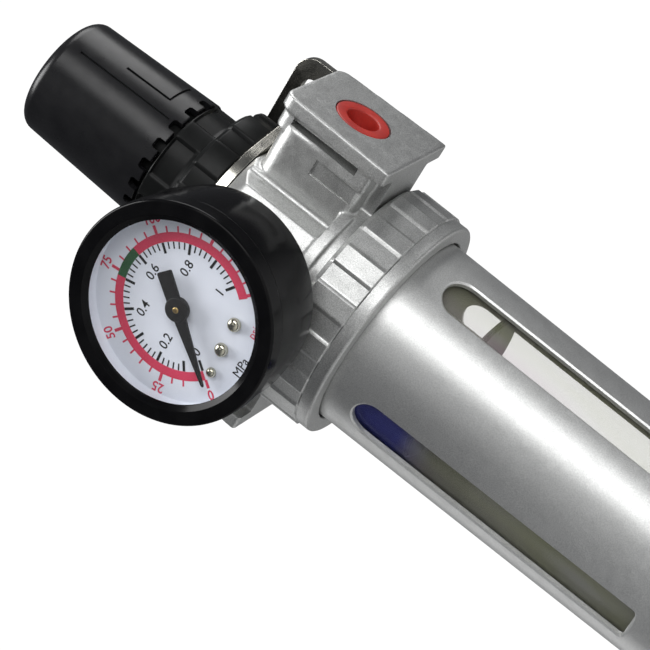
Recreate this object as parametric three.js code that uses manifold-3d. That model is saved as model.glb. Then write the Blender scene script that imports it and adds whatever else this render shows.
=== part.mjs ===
// Compressed-air filter regulator with a pressure gauge, in millimetres, +Z up.
// The unit hangs on an L bracket: the origin is the centre of the bracket's wall face, which faces +Y.
// Most pieces are drawn in the unit's own frame: z runs up the main axis from the port axis at z = 0,
// air enters at -X and leaves at +X, and the gauge faces -Y.
import * as THREE from 'three';
import { mergeVertices } from 'three/addons/utils/BufferGeometryUtils.js';
import Module from 'manifold-3d';

const wasm = await Module();
wasm.setup();

// ---------------------------------------------------------------- driving dimensions
const GAP = 0.3; // air between touching pieces
const WALL_Y = 30; // main axis to wall face
const BRACKET_T = 2.4;
const BRACKET_HALF = 31.5;
const BRACKET_Z = 14.8; // underside of the bracket's shelf
const BRACKET_TOP = 29.4;
const LEG_CENTRE_Z = (BRACKET_Z + BRACKET_TOP) / 2;
const SLOT_X = 22;
const SLOT_Z = 23.2;
const SHELF_FRONT_R = 22.4;

const FACE_X = 39.5; // port end faces
const FLANGE_BOTTOM = -16.2;
const FLANGE_BACK = 31;
const PORT_BORE_R = 5.7;
const PORT_RECESS_R = 7.3;
const PORT_RECESS_DEPTH = 1.8;
const GAUGE_BORE_R = 4.9;
const CORE_R = 22.4;
const BODY_TOP = BRACKET_Z - GAP;
const WAIST_R = 28; // round sides of the casting, between the gauge pads and the necks
const PAD_Y = 24.5; // flat gauge pads, front and back
const PAD_DEG = 61; // where a pad meets the round side, from the X axis
const EDGE_DEG = 48.5; // where the round side ends beside a neck
const NECK_Y = 14.4;
const SPIGOT_R = 27.4;
const SPIGOT_BOTTOM = -22.6;
const BOWL_BORE_R = 25.3;
const TOP_BORE_R = 19.2;
const LEDGE_Z = 7;
const VALVE_BORE_R = 8;
const SEAT_Z = -4;

const BONNET_R = 18.9;
const BONNET_HOLE_R = BONNET_R + 0.4;
const NECK_R = 16.6;
const BONNET_TOP = 60.5;
const NUT_TRAVEL_TOP = 46;
const SCREW_R = 3.9;

const KNOB_BOTTOM = 34.7;
const KNOB_TOP = 71.8;
const KNOB_R_BOTTOM = 17.12;
const KNOB_R_TOP = 15.6;
const KNOB_EDGE_R = 3;
const KNOB_NOTCHES = 18;

const COLLAR_TOP = -16.7;
const COLLAR_BOTTOM = -32.5;
const COLLAR_R = 31;
const COLLAR_FACETS = 36;

const GUARD_WALL = 1.3;
const GUARD_R_TOP = 25.55; // outside, where it leaves the collar
const GUARD_R_BOTTOM = 24.37; // outside, where the bottom starts to close
const GUARD_TAPER_END = -133;
const GUARD_BOTTOM = -146;
const GUARD_SLOT_W = 10.5;
const GUARD_SLOT_TOP = -40;
const GUARD_SLOT_END = -119.4;
const GUARD_SLOTS = [-22, 68, 170]; // degrees from the gauge side towards +X

const BAFFLE_R = 20.8;
const BAFFLE_Z = -53.7;
const BOWL_FLOOR = -137;
const BOWL_FLOOR_T = 2.2;

const GAUGE_Z = -0.66;
const GAUGE_FRONT = 57.2; // main axis to the bezel's front
const GAUGE_BACK = 33.4;
const BEZEL_R = 26;
const BEZEL_OPENING_R = 21.2;
const DIAL_FRONT = 51.2;
const POINTER_LEVEL = 53.3;
const ZERO_DEG = 141.2; // pointer at rest, left of twelve o'clock

// Sides given to round pieces, from the widest to the smallest.
const WIDE = 32;
const LARGE = 24;
const MEDIUM = 16;
const SMALL = 12;
const TINY = 8;

// ---------------------------------------------------------------- materials
const finish = (color, roughness, metalness) =>
  new THREE.MeshStandardMaterial({ color, roughness, metalness });
const SILVER_PAINT = finish(0xa9aba9, 0.4, 0.6);
const CAST_SILVER = finish(0xa0a2a1, 0.55, 0.6);
const BLACK_PLASTIC = finish(0x1d1e1f, 0.45, 0);
const DARK_PLASTIC = finish(0x292b2b, 0.6, 0);
const RED_PLASTIC = finish(0xc8352b, 0.45, 0);
const CHROME = finish(0xd9d7cd, 0.15, 1);
const STEEL = finish(0xb4b4b0, 0.3, 1);
const SPRING_STEEL = finish(0x8d8f90, 0.35, 1);
const BRASS = finish(0xb9974e, 0.35, 1);
const RUBBER = finish(0x151515, 0.8, 0);
const WHITE_FILTER = finish(0xe9e8e1, 0.9, 0);
const BLUE_PLASTIC = finish(0x3b3f93, 0.5, 0);
const CLEAR = new THREE.MeshStandardMaterial({
  color: 0xe4eceb, roughness: 0.1, transparent: true, opacity: 0.3,
});
const DIAL_WHITE = finish(0xdfe4ea, 0.5, 0);
const PTFE = finish(0xe6e6e2, 0.6, 0);

// ---------------------------------------------------------------- geometry helpers
const DEG = Math.PI / 180;
const QUARTER = Math.PI / 2;

// A placement: turn about X, then Y, then Z, then move.
function place({ x = 0, y = 0, z = 0, rx = 0, ry = 0, rz = 0 } = {}) {
  const turn = new THREE.Quaternion().setFromEuler(new THREE.Euler(rx, ry, rz, 'ZYX'));
  return new THREE.Matrix4().compose(new THREE.Vector3(x, y, z), turn, new THREE.Vector3(1, 1, 1));
}

// A closed three.js geometry as a manifold solid, with its faces turned outwards.
function solidOf(geometry, placement) {
  if (placement) geometry.applyMatrix4(placement);
  geometry.deleteAttribute('normal');
  geometry.deleteAttribute('uv');
  const merged = mergeVertices(geometry, 1e-4);
  const points = merged.attributes.position;
  const index = merged.index.array;
  const triangles = [];
  for (let i = 0; i < index.length; i += 3) {
    const [a, b, c] = [index[i], index[i + 1], index[i + 2]];
    if (a !== b && b !== c && c !== a) triangles.push([a, b, c]);
  }
  const corner = [new THREE.Vector3(), new THREE.Vector3(), new THREE.Vector3()];
  let volume = 0;
  for (const triangle of triangles) {
    triangle.forEach((vertex, i) => corner[i].fromBufferAttribute(points, vertex));
    volume += corner[0].dot(corner[1].cross(corner[2]));
  }
  const outward = volume > 0 ? triangles : triangles.map(([a, b, c]) => [a, c, b]);
  return new wasm.Manifold(new wasm.Mesh({
    numProp: 3,
    vertProperties: Float32Array.from(points.array),
    triVerts: Uint32Array.from(outward.flat()),
  }));
}

// A profile of [radius, height] points turned about the Z axis.
function revolve(profile, segments = LARGE, placement) {
  const points = profile.map(([r, h]) => new THREE.Vector2(r, h));
  const geometry = new THREE.LatheGeometry(points, segments).rotateX(QUARTER);
  return solidOf(geometry, placement);
}

// A ring of rectangular section.
function ring(rInner, rOuter, z0, z1, segments = LARGE, placement) {
  const profile = [[rInner, z0], [rOuter, z0], [rOuter, z1], [rInner, z1], [rInner, z0]];
  return revolve(profile, segments, placement);
}

// A round bar along Z between two heights.
function rod(r, z0, z1, segments = MEDIUM, placement) {
  return revolve([[0, z0], [r, z0], [r, z1], [0, z1]], segments, placement);
}

// A round bar along X (or, turned, along Y) between two stations.
const rodX = (r, x0, x1, y, z, segments = MEDIUM) =>
  rod(r, x0, x1, segments, place({ ry: QUARTER, y, z }));
const rodY = (r, y0, y1, x, z, segments = MEDIUM) =>
  rod(r, -y1, -y0, segments, place({ rx: QUARTER, x, z }));

function block(x0, x1, y0, y1, z0, z1) {
  const geometry = new THREE.BoxGeometry(x1 - x0, y1 - y0, z1 - z0);
  return solidOf(geometry, place({ x: (x0 + x1) / 2, y: (y0 + y1) / 2, z: (z0 + z1) / 2 }));
}

function prism(shape, depth, placement, curveSegments = 3) {
  return solidOf(new THREE.ExtrudeGeometry(shape, { depth, bevelEnabled: false, curveSegments }), placement);
}

// A closed outline through corner points, each corner rounded by its own radius.
function roundedOutline(corners) {
  const shape = new THREE.Shape();
  const count = corners.length;
  corners.forEach(([x, y, r = 0], i) => {
    const before = corners[(i + count - 1) % count];
    const after = corners[(i + 1) % count];
    const back = new THREE.Vector2(before[0] - x, before[1] - y).normalize();
    const ahead = new THREE.Vector2(after[0] - x, after[1] - y).normalize();
    if (i === 0) shape.moveTo(x + back.x * r, y + back.y * r);
    else shape.lineTo(x + back.x * r, y + back.y * r);
    if (r > 0) shape.quadraticCurveTo(x, y, x + ahead.x * r, y + ahead.y * r);
  });
  return shape;
}

const roundedBox = (w, h, r) =>
  roundedOutline([[-w / 2, -h / 2, r], [w / 2, -h / 2, r], [w / 2, h / 2, r], [-w / 2, h / 2, r]]);

function hexOutline(acrossFlats) {
  const r = acrossFlats / Math.sqrt(3);
  const corners = copies(6, (i) => [r * Math.cos(i * 60 * DEG), r * Math.sin(i * 60 * DEG)]);
  return roundedOutline(corners);
}

// A quarter-round between two directions, as profile points.
function arc(cx, cz, r, from, to, steps = 4) {
  return Array.from({ length: steps + 1 }, (_, i) => {
    const a = (from + ((to - from) * i) / steps) * DEG;
    return [cx + r * Math.cos(a), cz + r * Math.sin(a)];
  });
}

// A ring with a five-sided round section.
function oRing(radius, height, section, segments) {
  return revolve([...arc(radius, height, section, 0, 288), [radius + section, height]], segments);
}

const join = (first, ...rest) => rest.reduce((all, next) => all.add(next), first);
const cut = (first, ...rest) => rest.reduce((all, next) => all.subtract(next), first);
const copies = (count, make) => Array.from({ length: count }, (_, i) => make(i));

class Helix extends THREE.Curve {
  constructor(radius, z0, z1, turns) {
    super();
    Object.assign(this, { radius, z0, z1, turns });
  }

  // The end coils lie closed, and the middle ones share the rest of the height.
  getPoint(t, target = new THREE.Vector3()) {
    const angle = t * this.turns * 2 * Math.PI;
    const rise = THREE.MathUtils.smoothstep(t, 0, 1) * 0.35 + t * 0.65;
    return target.set(
      this.radius * Math.cos(angle), this.radius * Math.sin(angle), this.z0 + (this.z1 - this.z0) * rise);
  }
}

function ovalSection(halfWidth, halfHeight, sides) {
  return new THREE.Shape(copies(sides, (i) => {
    const angle = (i / sides) * 2 * Math.PI;
    return new THREE.Vector2(halfWidth * Math.cos(angle), halfHeight * Math.sin(angle));
  }));
}

function coilSpring(radius, wire, z0, z1, turns, stepsPerTurn, sides) {
  const section = ovalSection(wire, wire, sides);
  const path = new Helix(radius, z0 + wire, z1 - wire, turns);
  return solidOf(new THREE.ExtrudeGeometry(section, { steps: turns * stepsPerTurn, extrudePath: path }));
}

// ---------------------------------------------------------------- scene graph
const root = new THREE.Group();
const unit = new THREE.Group();
unit.position.set(0, -WALL_Y, -LEG_CENTRE_Z);
root.add(unit);

// The gauge's own frame: z runs out of the dial towards the reader, y runs up.
const gauge = new THREE.Group();
gauge.position.set(0, 0, GAUGE_Z);
gauge.rotation.x = QUARTER;
unit.add(gauge);

function part(name, solid, material, parent = unit) {
  const { vertProperties, triVerts, numProp } = solid.getMesh();
  const positions = new Float32Array((vertProperties.length / numProp) * 3);
  for (let i = 0; i < positions.length / 3; i += 1) {
    positions.set(vertProperties.subarray(i * numProp, i * numProp + 3), i * 3);
  }
  const geometry = new THREE.BufferGeometry();
  geometry.setAttribute('position', new THREE.BufferAttribute(positions, 3));
  geometry.setIndex(new THREE.BufferAttribute(Uint32Array.from(triVerts), 1));
  geometry.computeVertexNormals();
  const mesh = new THREE.Mesh(geometry, material);
  mesh.name = name;
  parent.add(mesh);
  return mesh;
}

// ---------------------------------------------------------------- body casting
// One slab of an end flange: narrower at the top, as a casting with draft is.
function flange(side, near, far, top, bottom, front, back) {
  const draft = 1.6;
  const outline = roundedOutline([
    [-front, bottom, 1], [back, bottom, 1],
    [back - draft, top, 3.2], [-front + draft, top, 3.2],
  ]);
  return prism(outline, far - near, place({ rx: QUARTER, rz: QUARTER, x: side > 0 ? near : -far }));
}

function castingOutline() {
  const shape = new THREE.Shape();
  const cornerR = 1.5;
  const reach = WAIST_R * Math.cos(EDGE_DEG * DEG) + cornerR;
  const cornerY = NECK_Y + cornerR;
  const side = (from, to) => shape.absarc(0, 0, WAIST_R, from * DEG, to * DEG, false);
  side(-PAD_DEG, -EDGE_DEG);
  shape.absarc(reach, -cornerY, cornerR, Math.PI, QUARTER, true);
  shape.absarc(reach, cornerY, cornerR, -QUARTER, -Math.PI, true);
  side(EDGE_DEG, PAD_DEG);
  side(180 - PAD_DEG, 180 - EDGE_DEG);
  shape.absarc(-reach, cornerY, cornerR, 0, -QUARTER, true);
  shape.absarc(-reach, -cornerY, cornerR, QUARTER, 0, true);
  side(180 + EDGE_DEG, 180 + PAD_DEG);
  return shape;
}

function bodyShell() {
  const bevel = revolve([[0, -30], [60, -30], [60, -13.6], [CORE_R, BODY_TOP], [0, BODY_TOP]], WIDE);
  const waist = prism(castingOutline(), BODY_TOP + 11.2, place({ z: -11.2 }), 5).intersect(bevel);
  const neckEnd = 33;
  const neckTurn = place({ rx: QUARTER, rz: QUARTER, x: -neckEnd, z: -0.1 });
  const neck = prism(roundedBox(2 * NECK_Y, 25.6, 3), 2 * neckEnd, neckTurn);
  const foot = ring(1, 28.3, -14, -11, WIDE).intersect(block(-24.5, 24.5, -30, 30, -15, -10));
  const spigot = rod(SPIGOT_R, SPIGOT_BOTTOM, -11, WIDE);
  const ends = [-1, 1].flatMap((side) => [
    flange(side, 36, FACE_X, 15.4, FLANGE_BOTTOM, 15.3, 16.9),
    flange(side, FLANGE_BACK, 36.8, 14.4, -13.1, 15, 15),
    block(...(side > 0 ? [24, 36.8] : [-36.8, -24]), -9.4, 9.4, FLANGE_BOTTOM, -12.4),
  ]);
  return join(waist, neck, foot, spigot, ...ends);
}

// Slots in the front and back of each end flange take the clamp that joins two units side by side.
function clampSlots() {
  const outline = roundedOutline([
    [33.7, -20], [33.7, -9.5], [34.9, -9.5], [34.9, -12.9], [36.1, -13.4], [36.1, -20],
  ]);
  const [low, high] = [-9.1, 10.4];
  return [0, Math.PI].flatMap((rz) => [
    prism(outline, high - low, place({ z: low, rz })),
    prism(outline, high - low, place({ z: high, rz, rx: Math.PI })),
  ]);
}

// Shallow sunk panels on the neck's four sides.
function sidePanels() {
  const inner = 26.8;
  return [-1, 1].flatMap((side) => {
    const [x0, x1] = side > 0 ? [inner, FLANGE_BACK] : [-FLANGE_BACK, -inner];
    return [block(x0, x1, -26, -14, -12.6, 0.6), block(x0, x1, 14, 26, -12.6, 0.6)];
  });
}

function bodyCavities() {
  const topBore = rod(TOP_BORE_R, LEDGE_Z, 20, LARGE);
  const outletChamber = rod(15, 2.5, 10, MEDIUM);
  const seatBore = rod(3.6, -6, 5, SMALL);
  const valveBore = rod(VALVE_BORE_R, -30, SEAT_Z, MEDIUM);
  const bowlBore = rod(BOWL_BORE_R, -30, -17, LARGE);
  const swirlChamber = ring(11, 22.6, -18, -12, LARGE);
  const inletBore = rodX(PORT_BORE_R, -50, -15.8, 0, 0);
  const outletBore = rodX(PORT_BORE_R, 12, 50, 0, 0);
  const inletDrop = rod(3, -14, 0, TINY, place({ x: -18.8 }));
  const plugRecesses = [
    rodX(PORT_RECESS_R, -50, -FACE_X + PORT_RECESS_DEPTH, 0, 0),
    rodX(PORT_RECESS_R, FACE_X - PORT_RECESS_DEPTH, 50, 0, 0),
  ];
  const gaugeBores = [
    rodY(GAUGE_BORE_R, -40, -11, 0, GAUGE_Z, SMALL),
    rodY(GAUGE_BORE_R, 11, 40, 0, GAUGE_Z, SMALL),
  ];
  const gaugeRisers = [-12.5, 12.5].map((y) => rod(1.8, -1, 4, TINY, place({ y })));
  return [
    topBore, outletChamber, seatBore, valveBore, bowlBore, swirlChamber, inletBore, outletBore, inletDrop,
    ...plugRecesses, ...gaugeBores, ...gaugeRisers,
  ];
}

part('body', cut(bodyShell(), ...clampSlots(), ...sidePanels(), ...bodyCavities()), CAST_SILVER);

// ---------------------------------------------------------------- bracket, ring nut, bonnet
// A shelf with a round front, and a leg with two slots that stands against the wall.
function bracket() {
  const shelf = new THREE.Shape();
  shelf.absarc(0, 0, SHELF_FRONT_R, 200 * DEG, 340 * DEG, false);
  shelf.lineTo(BRACKET_HALF, 20);
  shelf.lineTo(BRACKET_HALF, WALL_Y);
  shelf.lineTo(-BRACKET_HALF, WALL_Y);
  shelf.lineTo(-BRACKET_HALF, 20);
  const leg = roundedOutline([
    [-BRACKET_HALF, BRACKET_Z], [BRACKET_HALF, BRACKET_Z], [BRACKET_HALF, BRACKET_TOP, 5],
    [-BRACKET_HALF, BRACKET_TOP, 5],
  ]);
  const slot = roundedBox(9, 5.4, 2.69);
  return cut(
    join(
      prism(shelf, BRACKET_T, place({ z: BRACKET_Z }), 16),
      prism(leg, BRACKET_T, place({ rx: QUARTER, y: WALL_Y })),
    ),
    rod(BONNET_HOLE_R, 10, 20, LARGE),
    ...[-SLOT_X, SLOT_X].map((x) => prism(slot, 10, place({ rx: QUARTER, x, y: WALL_Y + 4, z: SLOT_Z }))),
  );
}

part('mounting_bracket', bracket(), CHROME);

// Ten grip lugs stand out of the ring nut, and its top edge is bevelled.
function ringNut() {
  const bottom = BRACKET_Z + BRACKET_T + GAP;
  const top = 25.5;
  const lugs = 10;
  const pitch = 360 / lugs;
  const shape = new THREE.Shape();
  for (let i = 0; i < lugs; i += 1) {
    const start = (i * pitch - 42) * DEG;
    shape.absarc(0, 0, 22.2, start, start + 23 * DEG, false);
    shape.absarc(0, 0, 21.4, start + 23.5 * DEG, start + (pitch - 0.5) * DEG, false);
  }
  const bevel = revolve([
    [0, bottom - 1], [30, bottom - 1], [30, 15], [22.2, 24.4], [21, top], [0, top],
  ], MEDIUM);
  const blank = prism(shape, top - bottom, place({ z: bottom }), 2).intersect(bevel);
  return cut(blank, rod(BONNET_HOLE_R, 10, 30, LARGE));
}

part('ring_nut', ringNut(), DARK_PLASTIC);

part('bonnet', revolve([
  [15.2, 8.6], [BONNET_R, 8.6], [BONNET_R, 25.2], [NECK_R, 25.8], [NECK_R, 34.2], [14.4, 34.2],
  [14.4, BONNET_TOP], [4.4, BONNET_TOP], [4.4, 57], [12.6, 57], [12.6, 29], [15.2, 26], [15.2, 8.6],
]), DARK_PLASTIC);

// ---------------------------------------------------------------- knob and setting screw
// A cup with a hexagonal socket for the screw, and grip notches round its lower edge.
function knob() {
  const outside = [
    [0, KNOB_TOP],
    ...arc(KNOB_R_TOP - KNOB_EDGE_R, KNOB_TOP - KNOB_EDGE_R, KNOB_EDGE_R, 90, 0),
    [KNOB_R_BOTTOM, KNOB_BOTTOM],
  ];
  const inside = [
    [15.3, KNOB_BOTTOM], [14.9, 62], [13.4, 63.5], [13.4, 68.2], [6.8, 68.2], [6.8, 61.5], [0, 61.5],
  ];
  const notches = copies(KNOB_NOTCHES, (i) => {
    const turned = place({ z: 34, rz: (1 + (i * 360) / KNOB_NOTCHES) * DEG });
    return solidOf(new THREE.BoxGeometry(6, 2.9, 6), turned.multiply(place({ x: 16.5 })));
  });
  const hexSocket = prism(hexOutline(9), 8.6, place({ z: 60 }), 1);
  return cut(revolve([...outside, ...inside], WIDE), hexSocket, ...notches);
}

part('adjusting_knob', knob(), BLACK_PLASTIC);

const screwShank = revolve([
  [0, 20], [3.4, 20], [SCREW_R, 20.8], [SCREW_R, 53.2], [6.8, 53.2], [6.8, 55.2], [4, 55.2], [4, 61.2],
  [0, 61.2],
], MEDIUM);
part('adjusting_screw', join(screwShank, prism(hexOutline(8.2), 6.5, place({ z: 61 }), 1)), STEEL);
part('thrust_washer', ring(4.3, 7.4, 55.6, 56.6, MEDIUM), BRASS);

const nutBore = SCREW_R + GAP;
const springNut = revolve([
  [nutBore, 40], [6.8, 40], [6.8, NUT_TRAVEL_TOP], [11.6, NUT_TRAVEL_TOP], [11.6, 49], [nutBore, 49],
  [nutBore, 40],
], MEDIUM);
part('spring_nut', springNut, BRASS);
part('main_spring', coilSpring(9.1, 1.3, 10.4, NUT_TRAVEL_TOP - GAP, 6.5, 12, 5), SPRING_STEEL);

// ---------------------------------------------------------------- diaphragm stack
part('diaphragm_plate', revolve([
  [3.8, 8.6], [11.2, 8.6], [11.2, 10.1], [7, 10.1], [7, 12.2], [3.8, 12.2], [3.8, 8.6],
], MEDIUM), STEEL);
part('diaphragm', revolve([
  [4, 7.3], [11.4, 7.3], [12.6, 8], [14, 8], [15, 7.3], [18.6, 7.3], [18.6, 8.3], [15.2, 8.3], [14.4, 9],
  [12.2, 9], [11.2, 8.3], [4, 8.3], [4, 7.3],
], LARGE), RUBBER);
part('relief_seat', revolve([
  [1.3, 5.4], [7, 5.4], [7, 7], [3.5, 7], [3.5, 11.8], [1.3, 11.8], [1.3, 5.4],
], MEDIUM), BRASS);

// ---------------------------------------------------------------- supply valve
part('valve', revolve([
  [0, -16.4], [2.9, -16.4], [2.9, -8], [6, -8], [6, -5.6], [1.6, -5.6], [1.6, 4.4], [0.8, 5.1], [0, 5.1],
], SMALL), BRASS);
part('valve_seal', ring(1.9, 5.8, -5.3, SEAT_Z - GAP, SMALL), RUBBER);
part('valve_spring', coilSpring(4.4, 0.5, -15.1, -8.3, 4, 10, 5), SPRING_STEEL);
part('valve_guide', revolve([
  [3.2, -17.6], [3.2, -15.4], [5.8, -15.4], [5.8, -9.5], [7.7, -9.5], [7.7, -17.3], [10.4, -17.3],
  [10.4, -20],
  [6.6, -20], [5, -17.6], [3.2, -17.6],
], MEDIUM), BRASS);

// ---------------------------------------------------------------- filter
// A dished disc whose slanted louvres set the air spinning.
const LOUVRES = 12;
function deflector() {
  const disc = revolve([
    [6.9, -21.9], [13, -21.9], [20.6, -24.4], [20.6, -23.2], [13, -20.3], [6.9, -20.3], [6.9, -21.9],
  ], LARGE);
  const louvres = copies(LOUVRES, (i) => {
    const turned = place({ rz: (i * 360 * DEG) / LOUVRES });
    const leaning = place({ x: 17.5, z: -22.5, rx: 50 * DEG });
    return solidOf(new THREE.BoxGeometry(6, 1.3, 12), turned.multiply(leaning));
  });
  return cut(disc, ...louvres);
}

part('filter_stud', revolve([
  [0, -56.6], [2.6, -56.6], [3, -56.2], [3, -22.2], [4.8, -21.9], [4.8, -18.3], [0, -18.3],
], SMALL), BRASS);
part('swirl_deflector', deflector(), BLUE_PLASTIC);
part('filter_element', ring(8.5, 12.2, -52.4, -22.2, MEDIUM), WHITE_FILTER);
part('baffle', revolve([
  [0, -60], [5.5, -60], [6.5, -59], [6.5, -54.6], [BAFFLE_R - 1, BAFFLE_Z - 0.9], [BAFFLE_R, BAFFLE_Z - 0.4],
  [BAFFLE_R, BAFFLE_Z + 0.4], [13, BAFFLE_Z + 0.8], [6.5, -52.8], [3.3, -52.8], [3.3, -57], [0, -57],
], LARGE), BLACK_PLASTIC);

// ---------------------------------------------------------------- bowl, guard, collar
const BOWL_NECK_R = 23.5;
const bowlOutside = [
  [BOWL_NECK_R, -18.6], [BOWL_NECK_R, -22.9], [26.4, -22.9], [26.4, -25.2], [23.7, -25.2], [22.6, -120],
  [21.6, -127], [18, -133.4], [12, BOWL_FLOOR], [5.4, BOWL_FLOOR],
];
const bowlInside = [
  [5.4, BOWL_FLOOR + BOWL_FLOOR_T], [11.4, BOWL_FLOOR + BOWL_FLOOR_T], [16.7, -131.6], [19.8, -126.2],
  [21, -118], [21.9, -18.6], [BOWL_NECK_R, -18.6],
];
part('bowl', revolve([...bowlOutside, ...bowlInside], LARGE), CLEAR);
part('bowl_o_ring', oRing(24.4, -20.6, 0.6, LARGE), RUBBER);

function guardShell() {
  const neckZ = -30;
  const wall = GUARD_WALL;
  return revolve([
    [27.3, -25.5], [27.3, -27.7], [GUARD_R_TOP, -27.7], [GUARD_R_TOP, neckZ],
    [GUARD_R_BOTTOM, GUARD_TAPER_END], [23.4, -138.6], [20.4, -143.2], [16, GUARD_BOTTOM], [13, GUARD_BOTTOM],
    [13, GUARD_BOTTOM + wall], [15.6, GUARD_BOTTOM + wall], [19.3, -142.2], [22.1, -138],
    [GUARD_R_BOTTOM - wall, GUARD_TAPER_END], [GUARD_R_TOP - wall, neckZ], [GUARD_R_TOP - wall, -25.5],
    [27.3, -25.5],
  ], WIDE);
}

// A sight slot: a full round at its top and small corner radii at its lower end.
function sightSlot(degrees) {
  const half = GUARD_SLOT_W / 2;
  const shape = new THREE.Shape();
  shape.moveTo(-half, GUARD_SLOT_END + 1.2);
  shape.lineTo(-half + 1.2, GUARD_SLOT_END);
  shape.lineTo(half - 1.2, GUARD_SLOT_END);
  shape.lineTo(half, GUARD_SLOT_END + 1.2);
  shape.absarc(0, GUARD_SLOT_TOP - half, half, 0, Math.PI, false);
  return prism(shape, 20, place({ rz: degrees * DEG }).multiply(place({ rx: QUARTER, y: -15 })), 8);
}

part('bowl_guard', cut(guardShell(), ...GUARD_SLOTS.map(sightSlot)), SILVER_PAINT);

// Raised and sunk flats alternate round the collar above a plain band.
function collar() {
  const step = (2 * Math.PI) / COLLAR_FACETS;
  const corners = copies(COLLAR_FACETS, (i) => {
    const r = i % 2 === 0 ? COLLAR_R : COLLAR_R - 0.5;
    return [0.32, 1.2]
      .map((share) => (i + share) * step)
      .map((angle) => new THREE.Vector2(r * Math.cos(angle), r * Math.sin(angle)));
  }).flat();
  const bandTop = COLLAR_BOTTOM + 3.8;
  const grip = prism(new THREE.Shape(corners), COLLAR_TOP - bandTop + 0.5, place({ z: bandTop - 0.5 }), 1);
  const bevel = revolve([
    [0, -33], [40, -33], [40, COLLAR_TOP - 9], [29.4, COLLAR_TOP], [0, COLLAR_TOP],
  ], WIDE);
  const band = revolve([
    [0, COLLAR_BOTTOM], [29.7, COLLAR_BOTTOM], [30.3, COLLAR_BOTTOM + 0.6], [30.3, bandTop], [0, bandTop],
  ], WIDE);
  const bore = revolve([[0, -40], [26.05, -40], [26.05, -28], [27.7, -28], [27.7, -10], [0, -10]], WIDE);
  return cut(join(grip.intersect(bevel), band), bore);
}

part('collar', collar(), CAST_SILVER);

// ---------------------------------------------------------------- drain
const floorTop = BOWL_FLOOR + BOWL_FLOOR_T;
part('drain_body', revolve([
  [2.1, -149], [5, -149], [5, floorTop + 1.6], [8.6, floorTop + 1.6], [8.6, floorTop + 3.4],
  [7, floorTop + 4.4], [2.1, floorTop + 4.4], [2.1, -149],
], MEDIUM), BRASS);
part('drain_o_ring', oRing(6.5, floorTop + 0.8, 0.5, MEDIUM), RUBBER);
part('drain_nut', cut(
  prism(hexOutline(16), 3.4, place({ z: BOWL_FLOOR - 3.7 }), 1),
  rod(5.4, BOWL_FLOOR - 6, BOWL_FLOOR + 1, MEDIUM),
), BRASS);
part('drain_needle', revolve([
  [0, -153.6], [1.6, -153.6], [1.6, -136], [0.6, -134], [0, -134],
], TINY), STEEL);

const DRAIN_GROOVES = 16;
function drainKnob() {
  const blank = revolve([
    [1.9, -160], [2.6, -160], [3.4, -156.5], [9.4, -156.5], [10.4, -155.5], [10.4, -143.6], [9.8, -143],
    [5.4, -143], [5.4, -151.6], [1.9, -151.6], [1.9, -160],
  ], MEDIUM);
  const grooves = copies(DRAIN_GROOVES, (i) => {
    const turned = place({ rz: (i * 360 * DEG) / DRAIN_GROOVES });
    return rod(0.9, -158, -140, 6, turned.multiply(place({ x: 10.8 })));
  });
  return cut(blank, ...grooves);
}

part('drain_knob', drainKnob(), BLACK_PLASTIC);

// ---------------------------------------------------------------- port plugs
// A shipping plug: a flanged cup pressed into the port, flush with the end face.
const plugProfile = [
  [0, -9], [5.3, -9], [5.3, -1.5], [7, -1.5], [7, 0], [4.1, 0], [3.4, -7.5], [0, -7.5],
];
const plug = (side) => revolve(plugProfile, MEDIUM, place({ ry: side * QUARTER, x: side * FACE_X }));
part('outlet_port_plug', plug(1), RED_PLASTIC);
part('inlet_port_plug', plug(-1), RED_PLASTIC);

const rearPlug = cut(
  revolve([[0, 0], [4.1, 0], [4.6, 0.6], [4.6, 8], [0, 8]], SMALL),
  prism(hexOutline(5), 6, place({ z: 4 }), 1),
);
part('rear_gauge_port_plug', rearPlug, STEEL)
  .applyMatrix4(place({ rx: -QUARTER, y: 15.5, z: GAUGE_Z }));

// ---------------------------------------------------------------- gauge
part('gauge_case', revolve([
  [6.6, GAUGE_BACK], [22.8, GAUGE_BACK], ...arc(22.8, GAUGE_BACK + 1.2, 1.2, -90, 0, 3), [25.4, 42],
  [25.7, 52], [23.9, 52], [23.6, 42], [22.4, GAUGE_BACK + 1.6], [6.6, GAUGE_BACK + 1.6], [6.6, GAUGE_BACK],
], WIDE), BLACK_PLASTIC, gauge);
part('gauge_bezel', revolve([
  [24.3, 52.3], [BEZEL_R, 52.3], [BEZEL_R, GAUGE_FRONT - 0.5], [BEZEL_R - 0.5, GAUGE_FRONT],
  [BEZEL_OPENING_R, GAUGE_FRONT], [BEZEL_OPENING_R, 55.8], [24.3, 55.8], [24.3, 52.3],
], WIDE), BLACK_PLASTIC, gauge);
part('gauge_lens', rod(24, 54.4, 55.5, WIDE), CLEAR, gauge);

const SCREW_HOLE_R = 1.1;
const dialScrewSpots = [[5.24, -12.65], [-1.84, -13.05]];
const stopPinSpot = place({ x: -8.1, y: -13.7 });
const dialHole = (r, placement) => rod(r, DIAL_FRONT - 2, DIAL_FRONT + 2, TINY, placement);
const dialHoles = [
  dialHole(1.6),
  dialHole(0.95, stopPinSpot),
  ...dialScrewSpots.map(([x, y]) => dialHole(SCREW_HOLE_R, place({ x, y }))),
];
part('gauge_dial', cut(rod(23.5, DIAL_FRONT - 0.6, DIAL_FRONT, WIDE), ...dialHoles), DIAL_WHITE, gauge);

// A small fastener whose domed head stands on the dial.
function domeHeaded(shankR, headR, z0) {
  const under = DIAL_FRONT + GAP;
  const dome = [[headR, under], [headR * 0.97, under + headR * 0.25], [headR * 0.6, under + headR * 0.8]];
  return [[0, z0], [shankR, z0], [shankR, under], ...dome, [0, under + headR]];
}

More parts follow.
